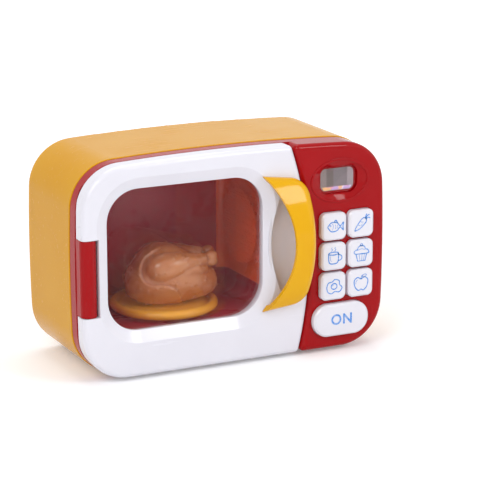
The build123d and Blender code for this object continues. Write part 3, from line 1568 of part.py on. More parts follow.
cover_gap = 0.3
cover_rib_width = 30.0
cover_rib_pitch = 4.0
cover_rib_count = 5
cover_rib_height = 1.2
cover_rib_depth = 0.8
cover_screw_head = 2.4
cover_screw_seat = 1.6
with BuildPart() as battery_cover:
    extrude(bay_face(back_y, -cover_gap), amount=shell_wall)
    with BuildSketch(front_plane(back_y + overrun)):
        with Locations((tray_x, tray_z)):
            with GridLocations(cover_rib_pitch, cover_rib_pitch, 1, cover_rib_count):
                SlotOverall(cover_rib_width, cover_rib_height)
    extrude(amount=cover_rib_depth + overrun, mode=Mode.SUBTRACT)
    with BuildSketch(front_plane(back_y + overrun)):
        with Locations((tray_x, cover_tab_z)):
            Circle(cover_screw_head + seat_gap)
    extrude(amount=cover_screw_seat + overrun, mode=Mode.SUBTRACT)
    with BuildSketch(front_plane(back_y)):
        with Locations((tray_x, cover_tab_z)):
            Circle(cover_screw_radius + fixed_gap)
    extrude(amount=shell_wall + overrun, mode=Mode.SUBTRACT)
finish_piece("battery_cover", battery_cover.part)

# Cover screw: one, which stays with the cover when it comes off
with BuildPart() as cover_screw:
    with BuildSketch(front_plane(back_y)):
        with Locations((tray_x, cover_tab_z)):
            Circle(cover_screw_head)
    extrude(amount=cover_screw_seat)
    with BuildSketch(front_plane(back_y - cover_screw_seat)):
        with Locations((tray_x, cover_tab_z)):
            Circle(cover_screw_radius)
    extrude(amount=shell_wall - cover_screw_seat + cover_screw_bite)
finish_piece("cover_screw", cover_screw.part)

# Power switch: small box behind its slot, with a recessed slider
switch_body_width = 18.0
switch_body_height = 9.0
switch_body_depth = 6.0
switch_body_corner = 1.0
slider_corner = 0.3
slider_width = 5.2
slider_height = 4.4
slider_neck_depth = 3.0
slider_x = switch_x - switch_travel / 2
with BuildPart() as switch_body:
    box_plane = front_plane(inner_back_y)
    extrude(
        rounded_face(
            box_plane, switch_x, switch_z, switch_body_width, switch_body_height, switch_body_corner
        ),
        amount=switch_body_depth,
    )
    extrude(
        rounded_face(
            front_plane(inner_back_y + overrun),
            switch_x,
            switch_z,
            switch_slot_width,
            switch_slot_height,
            switch_slot_corner,
        ),
        amount=slider_neck_depth + seat_gap + overrun,
        mode=Mode.SUBTRACT,
    )
finish_piece("switch_body", switch_body.part)

slider_front_y = back_y - seat_gap
with BuildPart() as switch_slider:
    slider_plane = front_plane(slider_front_y)
    extrude(
        rounded_face(slider_plane, slider_x, switch_z, slider_width, slider_height, slider_corner),
        amount=slider_front_y - inner_back_y + slider_neck_depth,
    )
finish_piece("switch_slider", switch_slider.part)
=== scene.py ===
"""Looks of the toy microwave oven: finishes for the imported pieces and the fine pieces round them."""
import json
import logging
import math
from dataclasses import dataclass, field
from enum import Enum
from typing import Protocol

import bpy
import numpy as np
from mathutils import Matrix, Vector


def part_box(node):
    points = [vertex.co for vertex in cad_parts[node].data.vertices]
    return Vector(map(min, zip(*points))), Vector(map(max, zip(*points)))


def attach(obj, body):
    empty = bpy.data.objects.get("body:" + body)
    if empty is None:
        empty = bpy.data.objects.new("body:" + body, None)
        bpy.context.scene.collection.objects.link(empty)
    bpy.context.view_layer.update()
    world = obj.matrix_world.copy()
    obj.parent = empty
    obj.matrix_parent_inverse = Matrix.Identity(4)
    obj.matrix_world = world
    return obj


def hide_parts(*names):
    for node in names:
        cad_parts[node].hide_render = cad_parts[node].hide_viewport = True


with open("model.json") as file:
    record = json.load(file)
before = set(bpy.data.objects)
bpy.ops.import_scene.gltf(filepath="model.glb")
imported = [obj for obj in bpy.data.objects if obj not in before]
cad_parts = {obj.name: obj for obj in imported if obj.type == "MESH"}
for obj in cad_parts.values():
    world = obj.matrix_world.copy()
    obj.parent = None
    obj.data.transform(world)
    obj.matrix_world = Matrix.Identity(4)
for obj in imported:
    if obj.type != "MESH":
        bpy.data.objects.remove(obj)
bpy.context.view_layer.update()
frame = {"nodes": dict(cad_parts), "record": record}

LOG = logging.getLogger("toy_oven")
MM = 0.001
FULL_TURN = 2 * math.pi
WHITE = (1.0, 1.0, 1.0)
Colour = tuple[float, float, float]
Row = tuple[float, ...]
Array = np.ndarray
Shape = tuple[Array, list[Array]]
Socket = bpy.types.NodeSocket
Inputs = dict[str | int, object]
Items = bpy.types.bpy_prop_collection
Piece = bpy.types.Object
Material = bpy.types.Material


class Body(Enum):
    """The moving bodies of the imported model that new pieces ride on."""

    CASE = "case"
    CHICKEN = "chicken"
    START = "start_cap"
    COVER = "battery_door"


class Light(Enum):
    """The lamps of the studio."""

    KEY = "key_lamp"
    FRONT = "front_lamp"
    FILL = "fill_lamp"
    TOP = "top_lamp"


class Pen(Enum):
    """Widths of the printed lines on the keys, in millimetres."""

    BOLD = 0.74
    STEM = 0.5
    MEDIUM = 0.4
    FINE = 0.35
    FAINT = 0.3


# Node trees


class Tree:
    """A node tree being drawn up: adds nodes and joins their sockets."""

    def __init__(self, tree: bpy.types.NodeTree) -> None:
        """Start from a tree, with its old nodes removed.

        Args:
            tree: The node tree of a material, a group or the world.
        """
        self.tree = tree
        tree.nodes.clear()

    def add(self, kind: str, inputs: Inputs | None = None, **settings: object) -> Items:
        """Add one node.

        Args:
            kind: The node's type name without its Shader Node prefix.
            inputs: Socket name or number to a value, a colour or another node's output.
            settings: Attributes of the node.

        Returns:
            The new node's outputs.
        """
        node = self.tree.nodes.new(kind if kind.startswith("NodeGroup") else "ShaderNode" + kind)
        for key, value in settings.items():
            setattr(node, key, value)
        for key, value in (inputs or {}).items():
            socket = node.inputs[key]
            if isinstance(value, Socket):
                self.tree.links.new(value, socket)
            else:
                socket.default_value = (*value, 1.0) if socket.type == "RGBA" else value
        return node.outputs

    def math(self, operation: str, *values: object) -> Socket:
        """One Math node.

        Args:
            operation: The node's operation.
            values: Its inputs in order, numbers or outputs.

        Returns:
            Its output.
        """
        return self.add("Math", dict(enumerate(values)), operation=operation)[0]

    def noise(self, place: Socket, scale: object, detail: float, **more: float) -> Socket:
        """One noise.

        Args:
            place: Coordinates.
            scale: Its scale, a number or an output.
            detail: Its detail.
            more: Its other inputs, by their names in small letters.

        Returns:
            The noise's value.
        """
        named = {key.title(): value for key, value in more.items()}
        return self.add("TexNoise", {"Vector": place, "Scale": scale, "Detail": detail, **named})[0]

    def spread(
        self, value: Socket, low: float, high: float, to_low: float = 0.0, to_high: float = 1.0
    ) -> Socket:
        """A clamped Map Range from low..high to to_low..to_high.

        Args:
            value: The output to map.
            low: Value that becomes to_low.
            high: Value that becomes to_high.
            to_low: First end of the result.
            to_high: Second end of the result.

        Returns:
            The mapped output.
        """
        return self.add("MapRange", {0: value, 1: low, 2: high, 3: to_low, 4: to_high})[0]

    def mix(self, share: Socket, first: object, second: object) -> Socket:
        """A colour mix.

        Args:
            share: Share of the second colour.
            first: First colour or output.
            second: Second colour or output.

        Returns:
            The mixed colour.
        """
        return self.add("Mix", {0: share, 6: first, 7: second}, data_type="RGBA")[2]

    def seen_rays(self) -> tuple[Socket, Socket]:
        """Which rays show the surroundings.

        Returns:
            1 for the camera's rays, and 1 for rays from gloss or through glass.
        """
        path = self.add("LightPath")
        return path["Is Camera Ray"], self.math("MAXIMUM", path["Is Glossy Ray"], path["Is Transmission Ray"])


def new_group(name: str, inputs: dict[str, str], outputs: dict[str, str]) -> tuple[Tree, Items]:
    """A node group with named sockets, still without its output node.

    Args:
        name: The group's name.
        inputs: Input names and their socket kinds.
        outputs: Output names and their socket kinds.

    Returns:
        The tree and what its input node gives.
    """
    group = bpy.data.node_groups.new(name, "ShaderNodeTree")
    for way, sockets in (("INPUT", inputs), ("OUTPUT", outputs)):
        for socket, kind in sockets.items():
            group.interface.new_socket(name=socket, in_out=way, socket_type="NodeSocket" + kind)
    tree = Tree(group)
    return tree, tree.add("NodeGroupInput")


def moulded_skin_group() -> bpy.types.NodeTree:
    """Moulded surface: a slow waviness with a fine grain on it, and two slow masks.

    Height is a coarse noise plus a third of a fine noise. Tone is a slow noise spread to 0..1.
    Marks are the crests of a noise that is pressed together across one slanting line, as scuffs are.

    Returns:
        The group.
    """
    tree, given = new_group(
        "moulded_skin",
        {"Vector": "Vector", "Wave scale": "Float", "Grain scale": "Float", "Tone scale": "Float"},
        {"Height": "Float", "Tone": "Float", "Marks": "Float"},
    )
    place, tone_scale = given["Vector"], given["Tone scale"]
    wave = tree.noise(place, given["Wave scale"], 1.0)
    grain = tree.noise(place, given["Grain scale"], 3.0)
    tone = tree.noise(place, tone_scale, 4.0)
    slant = tree.add("Mapping", {"Vector": place, "Rotation": (0.4, 0.9, 0.5), "Scale": (1.0, 14.0, 14.0)})[0]
    scuffs = tree.noise(slant, tone_scale, 5.0, distortion=0.6)
    tree.add("NodeGroupOutput", {
        "Height": tree.math("MULTIPLY_ADD", grain, 0.33, wave),
        "Tone": tree.spread(tone, 0.35, 0.65),
        "Marks": tree.spread(scuffs, 0.6, 0.72),
    })
    return tree.tree


def soft_edge_group() -> bpy.types.NodeTree:
    """Rounded edges: the bevelled normal, and a mask of how far it leans from the true one.

    Edge is one minus the dot product of the two normals, spread so that an open edge gives 1.

    Returns:
        The group.
    """
    tree, given = new_group("soft_edge", {"Radius": "Float"}, {"Normal": "Vector", "Edge": "Float"})
    bevel = tree.add("Bevel", {"Radius": given["Radius"]}, samples=6)[0]
    true = tree.add("NewGeometry")["Normal"]
    dot = tree.add("VectorMath", {0: bevel, 1: true}, operation="DOT_PRODUCT")["Value"]
    edge = tree.spread(tree.math("SUBTRACT", 1.0, dot), 0.02, 0.28)
    tree.add("NodeGroupOutput", {"Normal": bevel, "Edge": edge})
    return tree.tree


def dust_group() -> bpy.types.NodeTree:
    """Fine dust: small specks of a cell pattern that only show where the surface looks up.

    Returns:
        The group.
    """
    tree, given = new_group("fine_dust", {"Vector": "Vector", "Scale": "Float"}, {"Dust": "Float"})
    cells = tree.add("TexVoronoi", {"Vector": given["Vector"], "Scale": given["Scale"]})["Distance"]
    specks = tree.spread(cells, 0.05, 0.12, 1.0, 0.0)
    where = tree.spread(tree.noise(given["Vector"], 30.0, 2.0), 0.5, 0.62)
    up = tree.add("SeparateXYZ", {0: tree.add("NewGeometry")["Normal"]})[2]
    dust = tree.math("MULTIPLY", tree.math("MULTIPLY", specks, where), tree.spread(up, 0.2, 0.9))
    tree.add("NodeGroupOutput", {"Dust": dust})
    return tree.tree


SKIN = moulded_skin_group()
EDGE = soft_edge_group()
DUST = dust_group()


class FinishTree(Tree):
    """The node tree of a new material, with the Object coordinates that its patterns read."""

    def __init__(self, name: str) -> None:
        """Start the material.

        Args:
            name: The finish's name.
        """
        self.made = bpy.data.materials.new(name)
        self.made.use_nodes = True
        super().__init__(self.made.node_tree)
        self.place = self.add("TexCoord")["Object"]

    def skin(self, wave: float, grain: float, tone: float) -> Items:
        """Place the moulded skin.

        Args:
            wave: Scale of the waviness.
            grain: Scale of the grain.
            tone: Scale of the slow tone and of the scuffs.

        Returns:
            The group's outputs.
        """
        scales = {"Wave scale": wave, "Grain scale": grain, "Tone scale": tone}
        return self.add("Group", {"Vector": self.place, **scales}, node_tree=SKIN)

    def turned_up(self) -> Socket:
        """The coordinates turned so that a flat pattern lies in the front's plane."""
        return self.add("Mapping", {"Vector": self.place, "Rotation": (math.pi / 2, 0.0, 0.0)})[0]

    def edge(self, radius: float) -> Items:
        """Place the soft edge of a given radius."""
        return self.add("Group", {"Radius": radius}, node_tree=EDGE)

    def bump(self, strength: float, distance: float, height: Socket, normal: Socket | None = None) -> Socket:
        """Raise the surface a little.

        Args:
            strength: How strongly.
            distance: Height of the relief, in metres.
            height: The relief.
            normal: The normal that it is added to, or the surface's own if there is none.

        Returns:
            The new normal.
        """
        own = {} if normal is None else {"Normal": normal}
        return self.add("Bump", {"Strength": strength, "Distance": distance, "Height": height, **own})[0]

    def finished(self, inputs: Inputs) -> Material:
        """Close the material with one Principled shader.

        Args:
            inputs: The shader's inputs, values or outputs.

        Returns:
            The finished material.
        """
        self.add("OutputMaterial", {"Surface": self.add("BsdfPrincipled", inputs)[0]})
        return self.made


# Finishes. A pattern's scale is how often it repeats in a metre.


class Finish(Protocol):
    """What every finish can do."""

    def material(self) -> Material:
        """Draw up the material."""


def scaled(colour: Colour, factor: float) -> Colour:
    """The colour made lighter or darker by a factor."""
    return tuple(part * factor for part in colour)


@dataclass(frozen=True)
class MouldedPlastic:
    """Injection-moulded plastic with slow tone, scuffs, soft edges, a painted highlight in its edge colour
    and a trace of dust.
    """

    name: str
    colour: Colour
    tone: Colour
    # edge: colour painted onto the rounded edges, a painted highlight (a deeper orange painted shade on the
    # handle)
    edge: Colour
    roughness: float = 0.2
    scuffed: float = 0.12
    wave: float = 220.0
    grain: float = 1400.0
    tone_scale: float = 26.0
    tone_share: float = 0.8
    painted_edge_share: float = 0.5
    relief: float = 0.02 * MM
    rounding: float = 0.5 * MM
    coat: float = 0.0
    coat_roughness: float = 0.04
    gloss: float = 1.45
    dust: float = 0.25
    dust_scale: float = 900.0
    dust_colour: Colour = (0.8, 0.78, 0.76)

    def material(self) -> Material:
        """Draw up the material.

        Returns:
            The finished material.
        """
        tree = FinishTree(self.name)
        skin = tree.skin(self.wave, self.grain, self.tone_scale)
        edge = tree.edge(self.rounding)
        specks = tree.add("Group", {"Vector": tree.place, "Scale": self.dust_scale}, node_tree=DUST)["Dust"]
        base = tree.mix(tree.math("MULTIPLY", skin["Tone"], self.tone_share), self.colour, self.tone)
        # Painted highlight: the edge colour is mixed in where the bevelled normal leans away, along the
        # rounded edges.
        painted_edge = tree.mix(tree.math("MULTIPLY", edge["Edge"], self.painted_edge_share), base, self.edge)
        slow = tree.spread(skin["Tone"], 0.0, 1.0, self.roughness * 0.85, self.roughness * 1.2)
        return tree.finished({
            "Base Color": tree.mix(tree.math("MULTIPLY", specks, self.dust), painted_edge, self.dust_colour),
            "Roughness": tree.math("MULTIPLY_ADD", skin["Marks"], self.scuffed, slow),
            "Normal": tree.bump(0.5, self.relief, skin["Height"], normal=edge["Normal"]),
            "IOR": self.gloss, "Coat Weight": self.coat, "Coat Roughness": self.coat_roughness,
        })


@dataclass(frozen=True)
class PlatedMetal:
    """Plated or turned metal: brushed along one line, a little dull in patches."""

    name: str
    colour: Colour
    shade: Colour
    roughness: float = 0.28
    brush: Row = (40.0, 40.0, 900.0)
    patch_scales: Row = (90.0, 900.0, 120.0)
    shade_share: float = 0.6
    relief: float = 0.01 * MM
    rounding: float = 0.2 * MM

    def material(self) -> Material:
        """Draw up the material.

        Returns:
            The finished material.
        """
        tree = FinishTree(self.name)
        lines = tree.noise(tree.add("Mapping", {"Vector": tree.place, "Scale": self.brush})[0], 1.0, 4.0)
        patches = tree.skin(*self.patch_scales)["Tone"]
        return tree.finished({
            "Base Color": tree.mix(tree.math("MULTIPLY", patches, self.shade_share), self.colour, self.shade),
            "Roughness": tree.spread(lines, 0.3, 0.7, self.roughness * 0.7, self.roughness * 1.5),
            "Normal": tree.bump(0.4, self.relief, lines, normal=tree.edge(self.rounding)["Normal"]),
            "Metallic": 1.0,
        })


@dataclass(frozen=True)
class ClearPlastic:
    """Clear sheet, faintly smoky, with slow finger smears in its cover and tint."""

    name: str
    tint: Colour = (0.95, 0.92, 0.94)
    smeared: float = 0.97
    smear_scale: float = 34.0
    cover: float = 0.16
    passing: float = 0.97
    gloss: float = 1.49

    def material(self) -> Material:
        """Draw up the material.

        Returns:
            The finished material.
        """
        tree = FinishTree(self.name)
        smears = tree.noise(tree.place, self.smear_scale, 3.0, distortion=1.2)
        return tree.finished({
            "Base Color": tree.mix(tree.spread(smears, 0.3, 0.7), self.tint, scaled(self.tint, self.smeared)),
            "Alpha": tree.spread(smears, 0.35, 0.7, self.cover * 0.94, self.cover * 1.08),
            "Roughness": 0.0, "IOR": self.gloss, "Transmission Weight": self.passing,
        })


@dataclass(frozen=True)
class RoastSkin:
    """Painted roast: brown with lighter random patches, painted shade darker in its hollows and a painted
    highlight lighter on its crests, with fine pores.
    """

    name: str
    colour: Colour = (0.47, 0.135, 0.036)
    # dark: painted shade for the hollows; light: the lighter random patches and the painted highlight on the
    # crests
    dark: Colour = (0.33, 0.07, 0.022)
    light: Colour = (0.55, 0.20, 0.06)
    patch_scale: float = 45.0
    pore_scales: Row = (160.0, 1100.0, 60.0)
    pores: float = 0.05 * MM
    coat: float = 0.6
    coat_roughness: float = 0.08

    def material(self) -> Material:
        """Draw up the material.

        Returns:
            The finished material.
        """
        tree = FinishTree(self.name)
        patches = tree.noise(tree.place, self.patch_scale, 4.0, roughness=0.6)
        crest = tree.add("NewGeometry")["Pointiness"]
        base = tree.mix(tree.spread(patches, 0.4, 0.62), self.colour, self.light)
        # Painted shade in the hollows and painted highlight on the crests, both read from the surface's
        # pointiness.
        hollow_shaded = tree.mix(tree.spread(crest, 0.47, 0.5, 0.75, 0.0), base, self.dark)
        return tree.finished({
            "Base Color": tree.mix(tree.spread(crest, 0.51, 0.56, 0.0, 0.6), hollow_shaded, self.light),
            "Roughness": tree.spread(patches, 0.35, 0.7, 0.2, 0.36),
            "Normal": tree.bump(0.6, self.pores, tree.skin(*self.pore_scales)["Height"]),
            "Coat Weight": self.coat, "Coat Roughness": self.coat_roughness,
        })


@dataclass(frozen=True)
class Ink:
    """Pad-printed ink: even colour with pinholes where the white shows a little."""

    name: str
    colour: Colour
    paper: Colour = (0.85, 0.88, 0.95)
    hole_scale: float = 2600.0
    cover_scale: float = 400.0

    def material(self) -> Material:
        """Draw up the material.

        Returns:
            The finished material.
        """
        tree = FinishTree(self.name)
        holes = tree.spread(tree.noise(tree.place, self.hole_scale, 2.0), 0.58, 0.7)
        cover = tree.noise(tree.place, self.cover_scale, 3.0)
        thin = tree.math("MULTIPLY", tree.spread(cover, 0.45, 0.7), 0.25)
        bare = tree.math("ADD", tree.math("MULTIPLY", holes, 0.7), thin)
        return tree.finished({
            "Base Color": tree.mix(bare, self.colour, self.paper),
            "Roughness": tree.spread(cover, 0.3, 0.7, 0.3, 0.42),
        })


@dataclass(frozen=True)
class DisplayCrystal:
    """The liquid crystal behind its film: darker in its left part, with faint columns of cells."""

    name: str
    colour: Colour = (0.47, 0.40, 0.43)
    shade: Colour = (0.34, 0.27, 0.25)
    cell: Colour = (0.36, 0.31, 0.33)
    border_share: float = 0.42
    border_blend: float = 0.2 * MM
    cell_scale: float = 500.0
    film_scale: float = 60.0

    def material(self) -> Material:
        """Draw up the material.

        Returns:
            The finished material.
        """
        tree = FinishTree(self.name)
        upright = tree.turned_up()
        bricks = {"Scale": self.cell_scale, "Mortar Size": 0.03, "Brick Width": 0.5, "Row Height": 0.5}
        cells = tree.add("TexBrick", {"Vector": upright, **bricks}, offset=0.0)["Fac"]
        film = tree.noise(tree.place, self.film_scale, 2.0)
        low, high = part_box("display_lens")
        border = low.x + (high.x - low.x) * self.border_share
        across = tree.add("SeparateXYZ", {"Vector": tree.place})[0]
        right = tree.spread(across, border - self.border_blend, border + self.border_blend)
        field_tone = tree.mix(right, self.shade, self.colour)
        base = tree.mix(tree.math("MULTIPLY", cells, 0.35), field_tone, self.cell)
        return tree.finished({
            "Base Color": tree.mix(tree.spread(film, 0.3, 0.7, 0.0, 0.3), base, self.cell),
            "Roughness": tree.spread(film, 0.3, 0.7, 0.12, 0.2),
        })


@dataclass(frozen=True)
class Blotches:
    """A printed trim strip in plain coloured patches of no particular picture."""

    name: str
    colours: tuple[Colour, ...] = (
        (0.62, 0.42, 0.75), (0.85, 0.35, 0.50), (0.95, 0.55, 0.25), (0.85, 0.75, 0.9))
    scale: float = 260.0
    blend: float = 0.04

    def material(self) -> Material:
        """Draw up the material.

        Returns:
            The finished material.
        """
        tree = FinishTree(self.name)
        cells = tree.add("TexVoronoi", {"Vector": tree.place, "Scale": self.scale})
        pick = tree.add("SeparateColor", {0: cells["Color"]})[0]
        colour = self.colours[0]
        for step, other in enumerate(self.colours[1:], start=1):
            level = step / len(self.colours)
            colour = tree.mix(tree.spread(pick, level, level + self.blend), colour, other)
        return tree.finished({
            "Base Color": colour,
            "Roughness": tree.spread(cells["Distance"], 0.0, 0.6, 0.25, 0.4),
        })


@dataclass(frozen=True)
class SolderMask:
    """Circuit board: green mask over copper tracks that show as raised, lighter lines."""

    name: str
    colour: Colour = (0.02, 0.16, 0.06)
    track: Colour = (0.05, 0.30, 0.12)
    relief: float = 0.04 * MM
    track_scale: float = 130.0
    wander_scale: float = 70.0

    def material(self) -> Material:
        """Draw up the material.

        Returns:
            The finished material.
        """
        tree = FinishTree(self.name)
        upright = tree.turned_up()
        bricks = {"Scale": self.track_scale, "Brick Width": 0.9, "Row Height": 0.3,
                  "Mortar Size": 0.05, "Mortar Smooth": 0.3}
        tracks = tree.add("TexBrick", {"Vector": upright, **bricks})["Fac"]
        wander = tree.noise(tree.place, self.wander_scale, 2.0)
        shown = tree.math("MULTIPLY", tracks, tree.spread(wander, 0.45, 0.5))
        return tree.finished({
            "Base Color": tree.mix(shown, self.colour, self.track),
            "Roughness": tree.spread(wander, 0.3, 0.7, 0.25, 0.4),
            "Normal": tree.bump(0.6, self.relief, shown),
        })


@dataclass(frozen=True)
class CellJacket:
    """Battery jacket: a dark sleeve, with a copper band above a given height."""

    name: str
    sleeve: Colour = (0.03, 0.035, 0.045)
    pale: float = 1.3
    band: Colour = (0.62, 0.33, 0.14)
    band_z: float = 64.0 * MM
    band_blend: float = 0.2 * MM
    skin_scales: Row = (300.0, 2000.0, 80.0)

    def material(self) -> Material:
        """Draw up the material.

        Returns:
            The finished material.
        """
        tree = FinishTree(self.name)
        height = tree.add("SeparateXYZ", {0: tree.place})[2]
        banded = tree.spread(height, self.band_z, self.band_z + self.band_blend)
        skin = tree.skin(*self.skin_scales)
        sleeve = tree.mix(skin["Tone"], self.sleeve, scaled(self.sleeve, self.pale))
        return tree.finished({
            "Base Color": tree.mix(banded, sleeve, self.band),
            "Roughness": tree.math("MULTIPLY_ADD", skin["Marks"], 0.2, 0.24),
            "Metallic": tree.math("MULTIPLY", banded, 0.6),
        })


# Surfaces


def grid_faces(rows: int, columns: int, closed_rows: bool = False, closed_columns: bool = False) -> Array:
    """Quads of a grid of points kept row by row.

    Args:
        rows: Number of rows.
        columns: Points in each row.
        closed_rows: Whether the last row joins the first.
        closed_columns: Whether the last point of a row joins its first.

    Returns:
        One row of four point numbers for each quad.
    """
    row = np.arange(rows if closed_rows else rows - 1)[:, None]
    column = np.arange(columns if closed_columns else columns - 1)[None, :]
    next_row, next_column = (row + 1) % rows * columns, (column + 1) % columns
    corners = [row * columns + column, row * columns + next_column, next_row + next_column, next_row + column]
    return np.stack(corners, -1).reshape(-1, 4)


def tube_faces(rings: int, columns: int) -> list[Array]:
    """Faces of a closed tube of rings.

    Args:
        rings: Number of rings.
        columns: Points in each ring.

    Returns:
        The quads between the rings, and one face each for the first and the last ring.
    """
    ring = np.arange(columns)[None, :]
    return [grid_faces(rings, columns, closed_columns=True), ring[:, ::-1], ring + (rings - 1) * columns]


def link_mesh(name: str, mesh: bpy.types.Mesh, finish: Material | None, smooth: bool) -> Piece:
    """Put a mesh in the scene as an object at the origin.

    Args:
        name: The piece's name.
        mesh: The mesh, with its place in its points.
        finish: Its only material, if it has one.
        smooth: Whether its faces are shaded smooth.

    Returns:
        The object.
    """
    mesh.polygons.foreach_set("use_smooth", np.full(len(mesh.polygons), smooth))
    mesh.update()
    mesh.materials.clear()
    if finish:
        mesh.materials.append(finish)
    thing = bpy.data.objects.new(name, mesh)
    bpy.context.scene.collection.objects.link(thing)
    return thing


def put_mesh(name: str, shape: Shape, finish: Material | None, smooth: bool = True) -> Piece:
    """A mesh object from points in metres.

    Args:
        name: The piece's name.
        shape: Points, and arrays of faces with one row per face.
        finish: Its only material, if it has one.
        smooth: Whether the faces are shaded smooth.

    Returns:
        The object, linked to the scene.
    """
    points, faces = shape
    mesh = bpy.data.meshes.new(name)
    mesh.from_pydata(points.reshape(-1, 3).tolist(), [], [face for block in faces for face in block.tolist()])
    return link_mesh(name, mesh, finish, smooth)


def settled(thing: Piece) -> bpy.types.Mesh:
    """A thing's final mesh, with the thing itself taken away."""
    mesh = bpy.data.meshes.new_from_object(thing.evaluated_get(bpy.context.evaluated_depsgraph_get()))
    bpy.data.objects.remove(thing)
    return mesh


def read_rows(items: Items, what: str) -> Array:
    """A property of three numbers for all of a mesh's items, one row each."""
    values = np.zeros(len(items) * 3)
    items.foreach_get(what, values)
    return values.reshape(-1, 3)


def join_parts(parts: list[Shape], scale: float = 1.0) -> Shape:
    """Points and faces of several shapes as one set.

    Args:
        parts: Each shape's points and arrays of faces.
        scale: Factor on all the points.

    Returns:
        All points and all arrays of faces, renumbered.
    """
    starts = np.cumsum([0] + [len(points) for points, _ in parts[:-1]])
    faces = [block + start for start, (_, blocks) in zip(starts, parts) for block in blocks]
    return np.concatenate([points for points, _ in parts]) * scale, faces


def round_angles(count: int) -> Array:
    """Even angles once round, from nought."""
    return np.linspace(0.0, FULL_TURN, count, endpoint=False)


def circle(turn: Array) -> Array:
    """Points (cos t, sin t) at the given angles."""
    return np.stack([np.cos(turn), np.sin(turn)], -1)


def ring_tube(path: Array, radii: Array, sides: int = 24) -> Shape:
    """A closed tube along a path, round in section, with one face at each end.

    At each point of the path two directions square to its tangent are found, and a ring is
    drawn as the point plus radius times (cos t, sin t) in those two directions.

    Args:
        path: Points of the path.
        radii: Radius at each point.
        sides: Points round each ring.

    Returns:
        Points and faces.
    """
    tangent = np.gradient(path, axis=0)
    tangent /= np.linalg.norm(tangent, axis=1, keepdims=True)
    guide = np.tile(np.array([0.0, 0.0, 1.0]), (len(path), 1))
    guide[np.abs(tangent[:, 2]) > 0.9] = (1.0, 0.0, 0.0)
    first = np.cross(guide, tangent)
    first /= np.linalg.norm(first, axis=1, keepdims=True)
    second = np.cross(tangent, first)
    turn = circle(round_angles(sides))
    ring = turn[None, :, :1] * first[:, None] + turn[None, :, 1:] * second[:, None]
    return (path[:, None] + radii[:, None, None] * ring).reshape(-1, 3), tube_faces(len(path), sides)


def ellipsoid(centre: Row, size: Row, power: float = 2.0, rings: int = 25, sides: int = 48) -> Shape:
    """A closed, slightly squared ellipsoid.

    A point is the centre plus size times (c(v) c(u), c(v) s(u), s(v)), where c and s are the
    cosine and sine raised to 2 / power with their signs kept.

    Args:
        centre: Its middle.
        size: Its three half sizes.
        power: 2 is an ellipsoid, more is squarer.
        rings: Rings from its foot to its top.
        sides: Points round each ring.

    Returns:
        Points and faces.
    """
    around = round_angles(sides)[None, :]
    rise = np.linspace(-math.pi / 2, math.pi / 2, rings + 2)[1:-1][:, None]

    def bent(wave: Array) -> Array:
        """The wave raised to 2 / power with its sign kept."""
        return np.sign(wave) * np.abs(wave) ** (2 / power)

    flat, tall = bent(np.cos(rise)), bent(np.sin(rise))
    shape = np.stack(np.broadcast_arrays(flat * bent(np.cos(around)), flat * bent(np.sin(around)), tall), -1)
    return (shape * np.array(size) + np.array(centre)).reshape(-1, 3), tube_faces(rings, sides)


def ribbon(path: Array, width: float, closed: bool = False) -> Shape:
    """A flat line of even width along a path in the plane, as quads.

    Each path point gives two points, half the width to either side along the path's normal.

    Args:
        path: Points of the line, two numbers each.
        width: The line's width.
        closed: Whether the line joins up.

    Returns:
        Points (two numbers each) and quads.
    """
    ahead = np.roll(path, -1, axis=0) - np.roll(path, 1, axis=0) if closed else np.gradient(path, axis=0)
    ahead /= np.linalg.norm(ahead, axis=1, keepdims=True)
    side = np.stack([-ahead[:, 1], ahead[:, 0]], -1) * width / 2
    points = np.stack([path - side, path + side], 1).reshape(-1, 2)
    return points, [grid_faces(len(path), 2, closed_rows=closed)]


def rounded_outline(half: Array, corner: float, steps: int = 9) -> Array:
    """Outline of a rectangle with round corners, starting at the right.

    Each corner is its quarter circle about a centre that lies the corner's radius inside both sides.

    Args:
        half: Half the width and half the height.
        corner: Radius of the corners.
        steps: Points on each corner.

    Returns:
        Points of the outline, one row each.
    """
    turn = np.radians(np.linspace(0.0, 90.0, steps)[None, :] + 90.0 * np.arange(4)[:, None])
    signs = np.array([(1, 1), (-1, 1), (-1, -1), (1, -1)])[:, None, :]
    return (signs * (half - corner) + corner * circle(turn)).reshape(-1, 2)


def smooth_path(*knots: Row, count: int = 40) -> Array:
    """A smooth open line through given points, by cubic blends between neighbours.

    Args:
        knots: The points to pass through, with as many numbers as they need.
        count: Number of points along the whole line.

    Returns:
        The points.
    """
    given = np.array(knots, float)
    padded = np.concatenate([[2 * given[0] - given[1]], given, [2 * given[-1] - given[-2]]])
    t = np.linspace(0.0, len(given) - 1 - 1e-9, count)
    index = t.astype(int)
    s = (t - index)[:, None]
    a, b, c, d = (padded[index + shift] for shift in range(4))
    return 0.5 * (2 * b + (c - a) * s + (2 * a - 5 * b + 4 * c - d) * s**2 + (3 * b - a - 3 * c + d) * s**3)


def middle_of(node: str) -> Row:
    """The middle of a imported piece's box, in metres."""
    return tuple((low + high) / 2 for low, high in zip(*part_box(node)))


def stand_up(flat: Array, node: str, depth: Array | float) -> Array:
    """Points drawn flat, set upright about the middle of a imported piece, facing the front.

    The first number goes to the right of the middle and the second up from it.

    Args:
        flat: Points with two numbers each, in metres.
        node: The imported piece.
        depth: Their place from front to back, in metres.

    Returns:
        Points with three numbers each.
    """
    x, _, z = middle_of(node)
    return np.stack(np.broadcast_arrays(flat[..., 0] + x, depth, flat[..., 1] + z), -1)


# Prints


@dataclass(frozen=True)
class Stroke:
    """One line of a print, in millimetres from the cap's middle."""

    path: Array
    pen: Pen
    closed: bool = False


def curve(*knots: Row, pen: Pen = Pen.BOLD, count: int = 40) -> Stroke:
    """A smooth stroke through given points."""
    return Stroke(smooth_path(*knots, count=count), pen)


def straight(*corners: Row, pen: Pen = Pen.BOLD) -> Stroke:
    """A stroke with sharp corners."""
    return Stroke(np.array(corners), pen)


